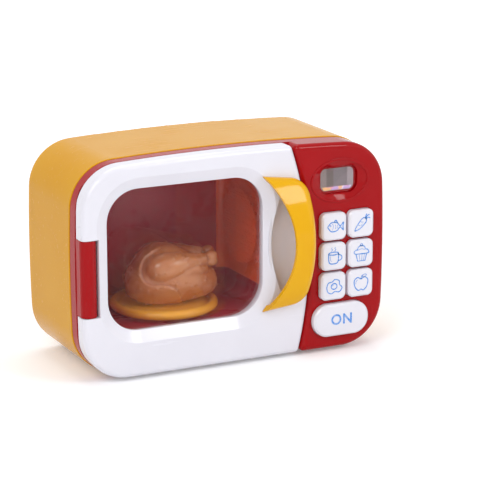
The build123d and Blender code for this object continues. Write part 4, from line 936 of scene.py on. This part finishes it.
def oval(
    centre: Row, radii: Row, start: float, end: float, pen: Pen, closed: bool = False, count: int = 24
) -> Stroke:
    """An oval stroke, or part of one: centre plus (a cos t, b sin t).

    Args:
        centre: Its middle.
        radii: Its half width and half height.
        start: First angle in degrees.
        end: Last angle in degrees.
        pen: The line's width.
        closed: Whether its ends join.
        count: Number of points.

    Returns:
        The stroke.
    """
    turn = np.radians(np.linspace(start, end, count))
    return Stroke(np.array(centre) + np.array(radii) * circle(turn), pen, closed)


@dataclass
class KeyPrint:
    """A line drawing printed on one cap, in blue, lying on the cap's front."""

    name: str
    body: str
    node: str
    strokes: list[Stroke]
    growth: float = 1.2
    lift: float = 0.05 * MM

    def build(self, ink: Material) -> Piece:
        """Make the print as thin raised lines on the cap's face.

        Args:
            ink: The ink's material.

        Returns:
            The finished piece.
        """
        lines = [
            ribbon(stroke.path * self.growth, stroke.pen.value * self.growth, stroke.closed)
            for stroke in self.strokes
        ]
        flat, faces = join_parts(lines, MM)
        points = stand_up(flat, self.node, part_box(self.node)[0].y - self.lift)
        thing = put_mesh(self.name, (points, faces), ink, smooth=False)
        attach(thing, self.body)
        return thing


def food_prints() -> list[KeyPrint]:
    """Six plain food drawings of our own: fish, carrot, mug, cupcake, egg and apple.

    Returns:
        One print for each key.
    """
    fish = [
        curve((-5.2, 0.2), (-2.4, 2.9), (1.6, 2.6), (4.0, 0.4), (6.3, 2.6), (6.0, 0.0),
              (6.3, -2.6), (4.0, -0.4), (1.6, -2.6), (-2.4, -2.9), (-5.2, 0.2), count=70),
        oval((-3.1, 0.9), (0.45, 0.45), 0, 345, Pen.MEDIUM, closed=True),
        oval((-2.6, 0.0), (1.6, 2.4), -60, 60, Pen.FINE),
        oval((-0.4, 0.0), (1.2, 1.6), -60, 60, Pen.FAINT),
        oval((1.2, 0.0), (1.0, 1.4), -60, 60, Pen.FAINT),
        curve((-0.6, 2.9), (0.8, 4.3), (2.2, 2.4)),
    ]
    carrot = [
        curve((-5.2, -4.6), (-1.2, -3.2), (3.2, 1.0), (2.6, 3.4), (0.2, 3.2), (-3.6, -1.4), (-5.2, -4.6),
              count=60),
        curve((2.8, 3.0), (4.0, 4.9), (5.6, 5.4)),
        curve((2.8, 2.8), (4.8, 3.6), (6.2, 3.2)),
        curve((2.7, 3.0), (2.9, 4.8), (3.6, 6.2)),
        curve((-2.6, -0.6), (-1.8, -1.2), (-1.0, -1.2), pen=Pen.FINE),
        curve((-0.8, 1.4), (0.2, 0.9), (1.2, 1.0), pen=Pen.FINE),
        curve((0.0, -1.6), (0.0, -0.8), (0.6, -0.2), pen=Pen.FINE),
    ]
    mug = [
        curve((-4.2, 2.2), (-4.0, -2.6), (-2.6, -4.4), (1.4, -4.4), (2.8, -2.6), (3.0, 2.2), count=50),
        oval((-0.6, 2.2), (3.6, 0.95), 0, 350, Pen.BOLD, closed=True, count=36),
        oval((3.2, -0.8), (2.3, 1.9), -100, 100, Pen.BOLD),
        curve((-2.2, 3.8), (-1.4, 4.8), (-2.2, 5.6), (-1.6, 6.4), pen=Pen.MEDIUM),
        curve((0.2, 3.8), (1.0, 4.8), (0.2, 5.6), (0.8, 6.4), pen=Pen.MEDIUM),
        curve((-3.0, 0.6), (-2.8, -1.8), (-2.0, -3.0), pen=Pen.FINE),
    ]
    cupcake = [
        curve((-4.4, -0.2), (-5.4, 1.0), (-4.2, 2.4), (-3.0, 2.6), (-2.2, 4.4), (0.0, 5.2),
              (2.2, 4.4), (3.0, 2.6), (4.2, 2.4), (5.4, 1.0), (4.4, -0.2), (-4.4, -0.2), count=80),
        straight((-3.9, -0.3), (-2.7, -4.9), (2.7, -4.9), (3.9, -0.3)),
        straight((-1.6, -0.4), (-1.1, -4.8), pen=Pen.FINE),
        straight((0.5, -0.4), (0.3, -4.8), pen=Pen.FINE),
        straight((2.3, -0.4), (1.6, -4.8), pen=Pen.FINE),
        oval((0.0, 5.7), (0.8, 0.8), 0, 345, Pen.STEM, closed=True),
        curve((-2.6, 2.2), (0.0, 3.0), (2.6, 2.2), pen=Pen.FINE),
    ]
    egg = [
        curve((-5.4, -0.4), (-4.2, 2.6), (-1.4, 3.2), (0.6, 4.6), (3.6, 3.6), (4.0, 1.0),
              (5.8, -1.2), (3.8, -3.8), (0.6, -3.4), (-2.0, -4.6), (-4.6, -3.2), (-5.4, -0.4), count=90),
        oval((0.0, 0.1), (2.1, 1.9), 0, 350, Pen.BOLD, closed=True, count=36),
        oval((0.0, 0.1), (1.3, 1.1), 100, 170, Pen.MEDIUM),
    ]
    apple = [
        curve((0.0, 2.6), (-2.6, 3.8), (-5.0, 1.8), (-4.4, -2.2), (-2.0, -4.8), (0.0, -4.2),
              (2.0, -4.8), (4.4, -2.2), (5.0, 1.8), (2.6, 3.8), (0.0, 2.6), count=90),
        curve((0.0, 2.6), (0.2, 4.2), (1.0, 5.4), pen=Pen.STEM),
        curve((0.6, 4.2), (2.2, 5.6), (4.0, 5.2), (2.6, 4.0), (0.6, 4.2), pen=Pen.MEDIUM),
        oval((-1.8, 0.0), (2.0, 2.4), 110, 190, Pen.MEDIUM),
    ]
    return [
        KeyPrint(f"print_{number}", f"key_{number}_cap", f"key_{number}", drawing)
        for number, drawing in enumerate([fish, carrot, mug, cupcake, egg, apple], start=1)
    ]


@dataclass
class StartWord:
    """The word ON on the start button, cut from the plain built-in letters."""

    name: str = "print_on"
    size: float = 11.5 * MM
    boldness: float = 0.25 * MM
    spacing: float = 1.1
    lift: float = 0.05 * MM

    def build(self, ink: Material) -> Piece:
        """Make the word on the button's face.

        Args:
            ink: The ink's material.

        Returns:
            The finished piece.
        """
        letters = bpy.data.curves.new(self.name, "FONT")
        letters.body = "ON"
        letters.size = self.size
        letters.align_x = letters.align_y = "CENTER"
        letters.offset = self.boldness
        letters.space_character = self.spacing
        thing = bpy.data.objects.new(self.name, letters)
        bpy.context.scene.collection.objects.link(thing)
        flat = settled(thing)
        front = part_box("start_button")[0].y - self.lift
        placed = stand_up(read_rows(flat.vertices, "co"), "start_button", front)
        flat.vertices.foreach_set("co", placed.ravel())
        piece = link_mesh(self.name, flat, ink, smooth=False)
        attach(piece, Body.START.value)
        return piece


# Roast


@dataclass
class Roast:
    """The roast bird: body, folded legs with knuckles, raised shoulders with wings, and small bumps.

    All sizes are millimetres in the bird's own frame: along it, to its side, and up from the plate.
    A limb's row is a place and the radius there. A trunk's row is the place along, the height of the
    ring's middle, and its half breadth and half height.
    """

    turn: float = -16.0
    voxel: float = 0.62
    smoothing: float = 0.6
    smooth_steps: int = 6
    trunk_rings: tuple[Row, ...] = (
        (-31.0, 16.0, 4.0, 3.0), (-29.8, 16.4, 9.5, 7.6), (-26.5, 17.8, 15.5, 12.2),
        (-20.0, 20.6, 20.5, 18.4), (-12.0, 22.8, 23.0, 23.0), (-2.0, 23.4, 24.0, 24.2),
        (8.0, 22.6, 23.5, 23.2), (18.0, 20.8, 21.0, 19.8), (28.0, 18.0, 17.0, 15.0),
        (36.0, 16.6, 12.0, 11.0), (40.0, 16.6, 8.0, 7.0), (41.4, 16.6, 3.2, 3.0))
    rump_place: Row = (28.0, 0.0, 15.5)
    rump_size: Row = (12.8, 15.5, 12.0)
    thigh: tuple[Row, ...] = (
        (-15.6, 17.4, 29.8, 4.2), (-12.0, 17.4, 30.4, 8.6), (-4.5, 17.2, 31.6, 10.9), (5.0, 15.9, 33.0, 10.2),
        (15.0, 13.6, 34.2, 8.0), (24.0, 11.2, 34.9, 5.9), (31.0, 9.2, 35.2, 4.8))
    loin: tuple[Row, ...] = (
        (5.0, 19.6, 25.5, 2.2), (14.0, 17.2, 28.0, 4.8), (23.0, 13.0, 29.0, 5.4), (31.0, 8.6, 27.6, 4.4))
    knuckles: tuple[Row, ...] = ((35.9, 7.7, 37.4), (36.2, 7.7, 33.2))
    knuckle_size: Row = (4.9, 4.5, 4.3)
    raised: float = 1.5
    raised_edge: float = 1.1
    shoulder_line: tuple[Row, ...] = (
        (-3.0, 45.0), (-9.5, 42.5), (-15.5, 38.5), (-19.0, 31.5), (-18.0, 24.5), (-12.5, 20.6),
        (-3.0, 20.2), (5.0, 17.0), (10.0, 10.5), (12.8, 3.0), (13.2, -2.0))
    outside: tuple[Row, ...] = ((-60.0, -2.0), (-60.0, 60.0), (-3.0, 60.0))
    bumps: int = 130
    bump_size: float = 0.95
    bump_height: float = 0.8
    seed: int = 7

    def limb(self, rows: tuple[Row, ...], side: int, sides: int) -> Shape:
        """A round limb along a smooth line, with its radius blended between the rows.

        Args:
            rows: Places and radii.
            side: -1 for the limb towards the viewer, 1 for the far one.
            sides: Points round the limb.

        Returns:
            The limb.
        """
        smooth = smooth_path(*rows, count=44)
        smooth[:, 1] *= side
        return ring_tube(smooth[:, :3], smooth[:, 3], sides)

    def leg(self, side: int) -> list[Shape]:
        """One leg: a fat thigh that narrows to the ankle, the knuckle's two lobes, and the loin.

        Args:
            side: -1 for the leg towards the viewer, 1 for the far one.

        Returns:
            The leg's shapes.
        """
        lobes = [
            ellipsoid((along, side * across, up), self.knuckle_size) for along, across, up in self.knuckles
        ]
        return [self.limb(self.thigh, side, 40), *lobes, self.limb(self.loin, side, 24)]

    def trunk(self, count: int = 70, sides: int = 64) -> list[Shape]:
        """The body: oval rings whose middle, half breadth and half height follow smooth lines.

        Args:
            count: Number of rings.
            sides: Points round each ring.

        Returns:
            The body and the rump.
        """
        along, middle, breadth, height = smooth_path(*self.trunk_rings, count=count).T[:, :, None]
        turn = round_angles(sides)[None, :]
        rings = np.broadcast_arrays(along, breadth * np.cos(turn), middle + height * np.sin(turn))
        body = np.stack(rings, -1).reshape(-1, 3), tube_faces(count, sides)
        return [body, ellipsoid(self.rump_place, self.rump_size)]

    def build(self, finish: Material) -> Piece:
        """Model the bird in its own frame, merge it to one skin, and set it on the plate.

        Args:
            finish: The roast's material.

        Returns:
            The finished piece.
        """
        rough = put_mesh("roast_rough", join_parts([*self.trunk(), *self.leg(-1), *self.leg(1)], MM), None)
        merge = rough.modifiers.new("merge", "REMESH")
        merge.mode = "VOXEL"
        merge.voxel_size = self.voxel * MM
        soften = rough.modifiers.new("soften", "SMOOTH")
        soften.factor, soften.iterations = self.smoothing, self.smooth_steps
        mesh = settled(rough)
        skin, normal = read_rows(mesh.vertices, "co"), read_rows(mesh.vertex_normals, "vector")
        skin += normal * (self.shoulder_field(skin, normal) + self.bump_field(skin))[:, None]
        cos, sin = math.cos(math.radians(self.turn)), math.sin(math.radians(self.turn))
        low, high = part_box("turntable_plate")
        centre = (low + high) / 2
        placed = np.stack([
            skin[:, 0] * cos - skin[:, 1] * sin + centre.x,
            skin[:, 0] * sin + skin[:, 1] * cos + centre.y,
            np.maximum(skin[:, 2], 0.0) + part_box("roast_chicken")[0].z,
        ], -1)
        mesh.vertices.foreach_set("co", placed.ravel())
        piece = link_mesh("roast_bird", mesh, finish, smooth=True)
        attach(piece, Body.CHICKEN.value)
        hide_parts("roast_chicken")
        return piece

    def shoulder_field(self, skin: Array, normal: Array) -> Array:
        """Height of the raised shoulders and wings at each point.

        Seen from its side, all that lies in front of the shoulder line is raised. The height grows
        from nought to its full amount over the edge's width, by 3 t squared minus 2 t cubed, where t
        is the distance from the line over that width. It fades where the skin turns up or down. A
        point is in front if a level line from it crosses the closed outline an odd number of times.

        Args:
            skin: Points of the smooth bird.
            normal: Directions of the skin there.

        Returns:
            One height for each point.
        """
        line = smooth_path(*self.shoulder_line, count=60) * MM
        flat = skin[:, [0, 2]]
        start, step = line[:-1], np.diff(line, axis=0)
        along = np.einsum("nsk,sk->ns", flat[:, None] - start, step) / np.sum(step**2, axis=1)
        foot = start + np.clip(along, 0.0, 1.0)[..., None] * step
        away = np.linalg.norm(flat[:, None] - foot, axis=2).min(axis=1)
        ring = np.concatenate([line, np.array(self.outside) * MM])
        ahead = np.roll(ring, -1, axis=0)
        spans = (ring[:, 1] > flat[:, 1, None]) != (ahead[:, 1] > flat[:, 1, None])
        rise = np.where(ahead[:, 1] == ring[:, 1], 1.0, ahead[:, 1] - ring[:, 1])
        cross = ring[:, 0] + (flat[:, 1, None] - ring[:, 1]) * (ahead[:, 0] - ring[:, 0]) / rise
        inside = np.sum(spans & (flat[:, 0, None] < cross), axis=1) % 2
        share = np.clip(away / (self.raised_edge * MM), 0.0, 1.0) * inside
        sideways = np.clip((np.abs(normal[:, 1]) - 0.15) / 0.4, 0.0, 1.0)
        return self.raised * MM * share**2 * (3.0 - 2.0 * share) * sideways

    def bump_field(self, skin: Array) -> Array:
        """Height of the scattered bumps at each point.

        Each bump is its height times exp(-(distance / size) squared), and the highest one counts.

        Args:
            skin: Points of the smooth bird.

        Returns:
            One height for each point.
        """
        draw = np.random.default_rng(self.seed)
        height = np.zeros(len(skin))
        for centre in skin[draw.choice(len(skin), self.bumps, replace=False)]:
            away = np.sum((skin - centre) ** 2, axis=1) / (self.bump_size * MM) ** 2
            height = np.maximum(height, self.bump_height * MM * np.exp(-away))
        return height


# Small fittings


@dataclass
class DottedGrille:
    """Finely dotted disc in the side wall's ring: hexagon cells, each with a round hole."""

    radius: float = 30.2
    pitch: float = 2.5
    hole: float = 0.75
    thickness: float = 0.3
    inset: float = 0.7
    sides: int = 12
    weld: float = 0.02 * MM

    def build(self, finish: Material) -> Piece:
        """Make the disc just inside the wall's face.

        Cell centres are a staggered lattice, and each cell is a ring of quads between a
        hexagon and the hole, both sampled at the same twelve angles.

        Args:
            finish: The wall's material.

        Returns:
            The finished piece.
        """
        reach = int(self.radius / self.pitch) + 2
        row, along = np.meshgrid(np.arange(-reach, reach + 1), np.arange(-reach, reach + 1))
        centre = np.stack([(along + row / 2) * self.pitch, row * self.pitch * math.sqrt(3) / 2], -1)
        centres = centre[np.hypot(centre[..., 0], centre[..., 1]) < self.radius - self.pitch / 2]
        turn = round_angles(self.sides) + FULL_TURN / self.sides
        hexagon = np.where(np.arange(self.sides) % 2 == 0, self.pitch / math.sqrt(3), self.pitch / 2)
        cell = np.stack([hexagon[:, None] * circle(turn), self.hole * circle(turn)])
        flat = (centres[:, None, None, :] + cell) * MM
        wall_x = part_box("side_panel")[0].x + self.inset * MM
        _, y, z = middle_of("speaker_basket")
        points = np.stack(np.broadcast_arrays(wall_x, y + flat[..., 0], z + flat[..., 1]), -1)
        first = np.arange(len(centres))[:, None, None] * 2 * self.sides
        faces = (grid_faces(2, self.sides, closed_columns=True) + first).reshape(-1, 4)
        piece = put_mesh("dotted_grille", (points, [faces]), finish, smooth=False)
        weld = piece.modifiers.new("weld", "WELD")
        weld.merge_threshold = self.weld
        solid = piece.modifiers.new("wall", "SOLIDIFY")
        solid.thickness, solid.offset = self.thickness * MM, 0.0
        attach(piece, Body.CASE.value)
        return piece


@dataclass
class ScrewHead:
    """Pan-head screws with a cross recess, heads towards the back. Sizes are millimetres."""

    name: str
    node: str
    body: str
    places: list[Row]
    head_radius: float
    head_height: float
    shank_radius: float
    shank_length: float
    sides: int = 48
    dome_share: float = 0.45
    slot_width_share: float = 0.17
    slot_reach_share: float = 0.62
    slot_depth_share: float = 0.55
    crest_share: float = 0.06
    threads: int = 9

    def build(self, finish: Material) -> Piece:
        """Make the screws of one node.

        The head is a disc of rings whose height is a low dome, less the recess where the
        point lies near either cross line and not too far out. The shank is a helix of small
        crests: its radius swings with height and angle together.

        Args:
            finish: The metal.

        Returns:
            The finished piece.
        """
        turn = round_angles(self.sides)[None, :]

        def rings(radius: Array | float, height: Array | float) -> Array:
            """Rings about the screw's axis, at the given radii and heights."""
            return np.stack(np.broadcast_arrays(radius * np.cos(turn), height, radius * np.sin(turn)), -1)

        out = np.linspace(0.02, 1.0, 22)[:, None]
        radius = out * self.head_radius
        x, z = np.abs(radius * np.cos(turn)), np.abs(radius * np.sin(turn))
        slot = np.minimum(x, z) < self.slot_width_share * self.head_radius
        slot &= np.maximum(x, z) < self.slot_reach_share * self.head_radius
        dome = self.head_height * (1.0 - self.dome_share * out**3)
        top = rings(radius, dome - np.where(slot, self.slot_depth_share * self.head_height, 0.0))
        down = np.linspace(0.0, 1.0, 60)[:, None]
        wave = np.sin(down * FULL_TURN * self.threads + turn)
        thread = self.shank_radius * (1.0 - self.crest_share + self.crest_share * wave)
        screw = np.concatenate([top, rings(self.head_radius, 0.0), rings(thread, -down * self.shank_length)])
        faces = tube_faces(len(screw), self.sides)
        parts = [(screw.reshape(-1, 3) + np.array(place), faces) for place in self.places]
        piece = put_mesh(self.name, join_parts(parts, MM), finish)
        piece.data.flip_normals()
        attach(piece, self.body)
        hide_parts(self.node)
        return piece


def back_screws() -> list[ScrewHead]:
    """The screws seen from behind: five deep in the shell's tubes and one in the battery cover.

    Returns:
        The two sets.
    """
    long_height, captive_height, captive_sunk = 2.0, 1.4, 1.5
    holes = [(-80.0, 159.4), (20.0, 160.6), (-92.0, 19.0), (45.0, 19.0), (118.2, 65.95)]
    seat_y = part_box("housing_screws")[1].y / MM - long_height
    low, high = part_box("cover_screw")
    x, _, z = middle_of("cover_screw")
    captive = (x / MM, high.y / MM - captive_height, z / MM)
    captive_length = (high.y - low.y) / MM - captive_sunk
    return [
        ScrewHead("long_screws", "housing_screws", Body.CASE.value, [(x, seat_y, z) for x, z in holes],
                  head_radius=2.9, head_height=long_height, shank_radius=1.4, shank_length=15.9),
        ScrewHead("captive_screw", "cover_screw", Body.COVER.value, [captive],
                  head_radius=2.4, head_height=captive_height, shank_radius=1.1, shank_length=captive_length),
    ]


@dataclass
class BayContacts:
    """Battery contacts: six plates with three coiled springs and three pressed studs, in millimetres."""

    wire: float = 0.35
    turns: float = 5.0
    coil_radius: float = 4.0
    coil_taper: float = 1.8
    stud_radius: float = 2.4
    clearance: float = 0.3
    plate: Row = (11.0, 9.0, 0.4)
    plate_squareness: float = 12.0

    def build(self, finish: Material) -> Piece:
        """Make the contacts between the tray's ends and the cells.

        A spring is a round wire along a cone-shaped helix: radius from wide to narrow while
        the height grows evenly with the angle.

        Args:
            finish: The plated steel.

        Returns:
            The finished piece.
        """
        low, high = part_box("battery_cells")
        bay_low, bay_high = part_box("battery_contacts")
        pitch = (high.x - low.x - (high.y - low.y)) / 2 / MM
        middle_x, cell_y = (place / MM for place in middle_of("battery_cells")[:2])
        half, thick = tuple(size / 2 for size in self.plate), self.plate[2]
        t = np.linspace(0.0, 1.0, 110)
        angle = t * self.turns * FULL_TURN
        parts = []
        for index in range(3):
            x = middle_x + (index - 1) * pitch
            for end, wall, cell in ((-1, bay_low.z, low.z), (1, bay_high.z, high.z)):
                wall_z = wall / MM
                parts.append(ellipsoid((x, cell_y, wall_z - end * thick / 2), half, self.plate_squareness))
                room = abs(cell / MM - wall_z) - thick - self.clearance
                if (index % 2 == 0) == (end < 0):
                    radius = self.coil_radius - self.coil_taper * t
                    height = wall_z - end * (thick + self.wire + t * (room - 2 * self.wire))
                    coil = np.stack([x + radius * np.cos(angle), cell_y + radius * np.sin(angle), height], -1)
                    parts.append(ring_tube(coil, np.full(len(t), self.wire), 8))
                else:
                    size = (self.stud_radius, self.stud_radius, room)
                    parts.append(ellipsoid((x, cell_y, wall_z - end * thick), size))
        piece = put_mesh("spring_contacts", join_parts(parts, MM), finish)
        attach(piece, Body.CASE.value)
        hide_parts("battery_contacts")
        return piece


@dataclass
class DisplayTrim:
    """The printed strip along the lower lip of the display and the red mask round its glass."""

    opening: tuple[float, float] = (28.8, 17.6)
    mask_corner: float = 4.6
    lens_corner: float = 7.5
    mask_lifts: Row = (0.1, 0.3, 0.3, 0.06)
    strip_height: float = 2.6
    strip_inset: float = 1.2
    strip_foot: float = 0.5
    strip_shares: tuple[float, float] = (0.86, 0.12)
    strip_lifts: tuple[float, float] = (0.05, 0.1)

    def build(self, print_finish: Material, mask_finish: Material) -> list[Piece]:
        """Make the strip and the mask on the display module's front.

        The strip is a patch between two lines across the window, a little wider at its top. The
        mask is the band between two rounded rectangles, the lens' own and the opening's.

        Args:
            print_finish: Material of the strip.
            mask_finish: Material of the mask.

        Returns:
            The two pieces.
        """
        low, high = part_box("display_lens")
        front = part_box("display_module")[0].y
        wide, tall = np.array(self.opening) * MM / 2
        u, v = np.linspace(-1.0, 1.0, 25)[None, :], np.linspace(0.0, 1.0, 5)[:, None]
        across = u * (wide - self.strip_inset * MM) * (self.strip_shares[0] + self.strip_shares[1] * v)
        up = (self.strip_foot + v * self.strip_height) * MM - tall
        depth = front - (self.strip_lifts[0] + self.strip_lifts[1] * (1 - v)) * MM
        points = stand_up(np.stack(np.broadcast_arrays(across, up), -1), "display_lens", depth)
        strip = put_mesh("display_strip", (points, [grid_faces(5, 25)[:, ::-1]]), print_finish)
        outer = rounded_outline(np.array([high.x - low.x, high.z - low.z]) / 2, self.lens_corner * MM)
        inner = rounded_outline(np.array([wide, tall]), self.mask_corner * MM)
        depths = front - np.array(self.mask_lifts)[:, None] * MM
        rings = stand_up(np.stack([outer, outer, inner, inner]), "display_lens", depths)
        band = [grid_faces(4, len(outer), closed_columns=True)]
        mask = put_mesh("display_mask", (rings, band), mask_finish, smooth=False)
        for piece in (strip, mask):
            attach(piece, Body.CASE.value)
        return [strip, mask]


# Studio


@dataclass(frozen=True)
class Lamp:
    """A soft square lamp: its place and size in metres, and its power in watts."""

    place: Row
    size: float
    power: float


@dataclass
class Studio:
    """Pale floor, soft lamps and the camera at the photograph's angle."""

    camera_place: Row = (-0.6826, -1.4406, 0.5046)
    camera_tilt: float = 75.1
    camera_turn: float = -26.4
    lens: float = 153.9
    sensor: float = 36.0
    floor_size: float = 6.0
    flat_end: float = 2.0
    bend: float = 1.0
    backdrop_height: float = 4.0
    floor_colours: tuple[Colour, Colour] = ((0.93, 0.93, 0.94), (0.92, 0.92, 0.93))
    near_lift: float = 0.2
    far_lift: float = 0.7
    mirrored_share: float = 0.25
    lift_reach: tuple[float, float] = (0.5, 2.2)
    world_strengths: tuple[float, float] = (0.55, 1.0)
    aim: Row = (0.0, 0.0, 0.08)
    lamps: dict[Light, Lamp] = field(default_factory=lambda: {
        Light.KEY: Lamp((-1.5, -1.2, 1.6), 1.2, 20.0),
        Light.FRONT: Lamp((0.90, -1.50, 1.09), 0.5, 7.0),
        Light.FILL: Lamp((1.6, -1.4, 0.9), 1.4, 4.0),
        Light.TOP: Lamp((0.1, 0.5, 1.8), 1.3, 10.4),
    })

    def floor_material(self) -> Material:
        """The floor's material: matte and pale, lifted to white far from the toy.

        Returns:
            The finished material.
        """
        tree = FinishTree("pale_floor")
        colour = tree.mix(tree.spread(tree.noise(tree.place, 3.0, 2.0), 0.3, 0.7), *self.floor_colours)
        camera, mirrored = tree.seen_rays()
        away = tree.add("VectorMath", {"Vector": tree.place}, operation="LENGTH")["Value"]
        lifted = tree.math("MULTIPLY_ADD", mirrored, self.mirrored_share, camera)
        far = tree.math("MULTIPLY", lifted, tree.spread(away, *self.lift_reach, 0.0, self.far_lift))
        near = tree.math("MULTIPLY", tree.math("MAXIMUM", camera, mirrored), self.near_lift)
        glow = tree.add("Emission", {"Color": WHITE, "Strength": tree.math("ADD", near, far)})[0]
        total = tree.add("AddShader", {0: tree.add("BsdfDiffuse", {"Color": colour})[0], 1: glow})[0]
        tree.add("OutputMaterial", {"Surface": total})
        return tree.made

    def floor(self) -> Piece:
        """The floor: one pale sheet that curves up into a backdrop behind.

        The sheet's section is flat, then a quarter circle, then upright.

        Returns:
            The floor.
        """
        flat = np.linspace(-self.floor_size, self.flat_end, 12)
        turn = np.radians(np.linspace(0.0, 90.0, 12))[1:]
        back = self.flat_end + self.bend
        y = np.concatenate([flat, self.flat_end + self.bend * np.sin(turn), [back]])[:, None]
        z = np.concatenate([0 * flat, self.bend - self.bend * np.cos(turn), [self.backdrop_height]])[:, None]
        x = np.linspace(-self.floor_size, self.floor_size, 9)[None, :]
        points = np.stack(np.broadcast_arrays(x, y, z), -1)
        sheet = put_mesh("studio_floor", (points, [grid_faces(y.size, x.size)]), self.floor_material())
        return sheet

    def world(self) -> None:
        """White surroundings for the camera and reflections, a plain level for light."""
        world = bpy.data.worlds.new("studio_world")
        bpy.context.scene.world = world
        world.use_nodes = True
        tree = Tree(world.node_tree)
        strength = tree.spread(tree.math("MAXIMUM", *tree.seen_rays()), 0.0, 1.0, *self.world_strengths)
        back = tree.add("Background", {"Color": WHITE, "Strength": strength})[0]
        tree.add("OutputWorld", {"Surface": back})

    def light(self) -> None:
        """Place the soft lamps, each turned towards the toy."""
        for light, lamp in self.lamps.items():
            data = bpy.data.lights.new(light.value, "AREA")
            data.shape = "SQUARE"
            data.size, data.energy = lamp.size, lamp.power
            thing = bpy.data.objects.new(light.value, data)
            thing.location = lamp.place
            ray = Vector(self.aim) - Vector(lamp.place)
            thing.rotation_euler = ray.to_track_quat("-Z", "Y").to_euler()
            bpy.context.scene.collection.objects.link(thing)

    def camera(self) -> None:
        """Set the camera at the photograph's angle."""
        data = bpy.data.cameras.new("photo_camera")
        data.lens, data.sensor_width = self.lens, self.sensor
        thing = bpy.data.objects.new("photo_camera", data)
        thing.location = self.camera_place
        thing.rotation_euler = (math.radians(self.camera_tilt), 0.0, math.radians(self.camera_turn))
        bpy.context.scene.collection.objects.link(thing)
        bpy.context.scene.camera = thing

    def build(self) -> None:
        """Set up the whole studio."""
        self.camera()
        self.floor()
        self.world()
        self.light()
        bpy.context.scene.view_settings.view_transform = "Standard"


# Dressing


@dataclass
class Dressing:
    """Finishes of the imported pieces, by the record's material slot."""

    finishes: dict[str, Finish] = field(default_factory=lambda: {
        # The third colour of each moulded plastic is painted on its edges: a painted highlight, lighter than
        # the body on every part but the handle, whose edges get a deeper orange painted shade.
        "yellow_shell": MouldedPlastic(
            "shell_yellow", (0.68, 0.33, 0.006), (0.66, 0.31, 0.005), (0.76, 0.41, 0.02), gloss=1.19),
        "red_gloss": MouldedPlastic(
            "crimson_gloss", (0.38, 0.0, 0.003), (0.35, 0.0, 0.002), (0.48, 0.006, 0.012),
            roughness=0.06, scuffed=0.06, relief=0.01 * MM, gloss=1.27),
        "deep_red": MouldedPlastic(
            "oven_red", (0.46, 0.008, 0.030), (0.43, 0.007, 0.026), (0.52, 0.015, 0.045), roughness=0.28),
        "orange_panel": MouldedPlastic(
            "wall_orange", (0.92, 0.12, 0.02), (0.88, 0.11, 0.018), (0.94, 0.17, 0.035), roughness=0.3),
        "white_plastic": MouldedPlastic(
            "door_white", (0.80, 0.79, 0.86), (0.77, 0.76, 0.83), (0.88, 0.88, 0.92),
            roughness=0.16, relief=0.01 * MM, coat=0.15, rounding=0.8 * MM),
        "handle_yellow": MouldedPlastic(
            "handle_yellow", (0.80, 0.42, 0.0), (0.78, 0.39, 0.0), (0.82, 0.30, 0.002),
            roughness=0.07, scuffed=0.06, relief=0.01 * MM, gloss=1.3),
        "plate_yellow": MouldedPlastic(
            "plate_yellow", (0.92, 0.42, 0.03), (0.90, 0.39, 0.025), (0.94, 0.50, 0.05), roughness=0.14),
        "roast_brown": RoastSkin("roast_skin"),
        "clear_pane": ClearPlastic("clear_sheet"),
        "display_grey": DisplayCrystal("display_crystal"),
        "black_plastic": MouldedPlastic(
            "black_moulding", (0.02, 0.02, 0.022), (0.016, 0.016, 0.018), (0.06, 0.06, 0.06),
            roughness=0.42, relief=0.05 * MM),
        "natural_nylon": MouldedPlastic(
            "nylon_natural", (0.70, 0.68, 0.58), (0.66, 0.63, 0.53), (0.78, 0.76, 0.68), roughness=0.38),
        "grey_rubber": MouldedPlastic(
            "rubber_grey", (0.07, 0.07, 0.073), (0.055, 0.055, 0.058), (0.12, 0.12, 0.12),
            roughness=0.7, relief=0.08 * MM),
        "zinc_steel": PlatedMetal("zinc_plate", (0.62, 0.63, 0.66), (0.48, 0.49, 0.52)),
        "brass_pinion": PlatedMetal("turned_brass", (0.72, 0.52, 0.2), (0.6, 0.42, 0.15), roughness=0.22),
        "board_green": SolderMask("board_mask"),
        "black_card": MouldedPlastic(
            "cone_card", (0.015, 0.015, 0.015), (0.022, 0.021, 0.02), (0.03, 0.03, 0.03),
            roughness=0.85, wave=500.0, relief=0.2 * MM),
        "cell_jacket": CellJacket("cell_jacket"),
    })
    made: dict[str, Material] = field(default_factory=dict)

    def build(self) -> None:
        """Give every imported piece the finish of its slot."""
        slots = {row["node"]: row["material_slot"] for row in frame["record"]["subparts"]}
        self.made = {slot: finish.material() for slot, finish in self.finishes.items()}
        for node, thing in frame["nodes"].items():
            thing.data.materials.clear()
            thing.data.materials.append(self.made[slots[node]])
            LOG.info("dressed %s as %s", node, slots[node])


def main() -> None:
    """Set up the studio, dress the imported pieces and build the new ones."""
    logging.basicConfig(level=logging.INFO, format="%(name)s: %(message)s")
    Studio().build()
    dressing = Dressing()
    dressing.build()
    made = dressing.made
    blue = Ink("print_blue", (0.02, 0.23, 0.72)).material()
    for key_print in food_prints():
        LOG.info("built %s", key_print.build(blue).name)
    LOG.info("built %s", StartWord().build(blue).name)
    LOG.info("built %s", Roast().build(made["roast_brown"]).name)
    LOG.info("built %s", DottedGrille().build(made["orange_panel"]).name)
    LOG.info("built %s", BayContacts().build(made["zinc_steel"]).name)
    for screw in back_screws():
        LOG.info("built %s", screw.build(made["zinc_steel"]).name)
    for piece in DisplayTrim().build(Blotches("strip_print").material(), made["red_gloss"]):
        LOG.info("built %s", piece.name)


if __name__ == "__main__":
    main()
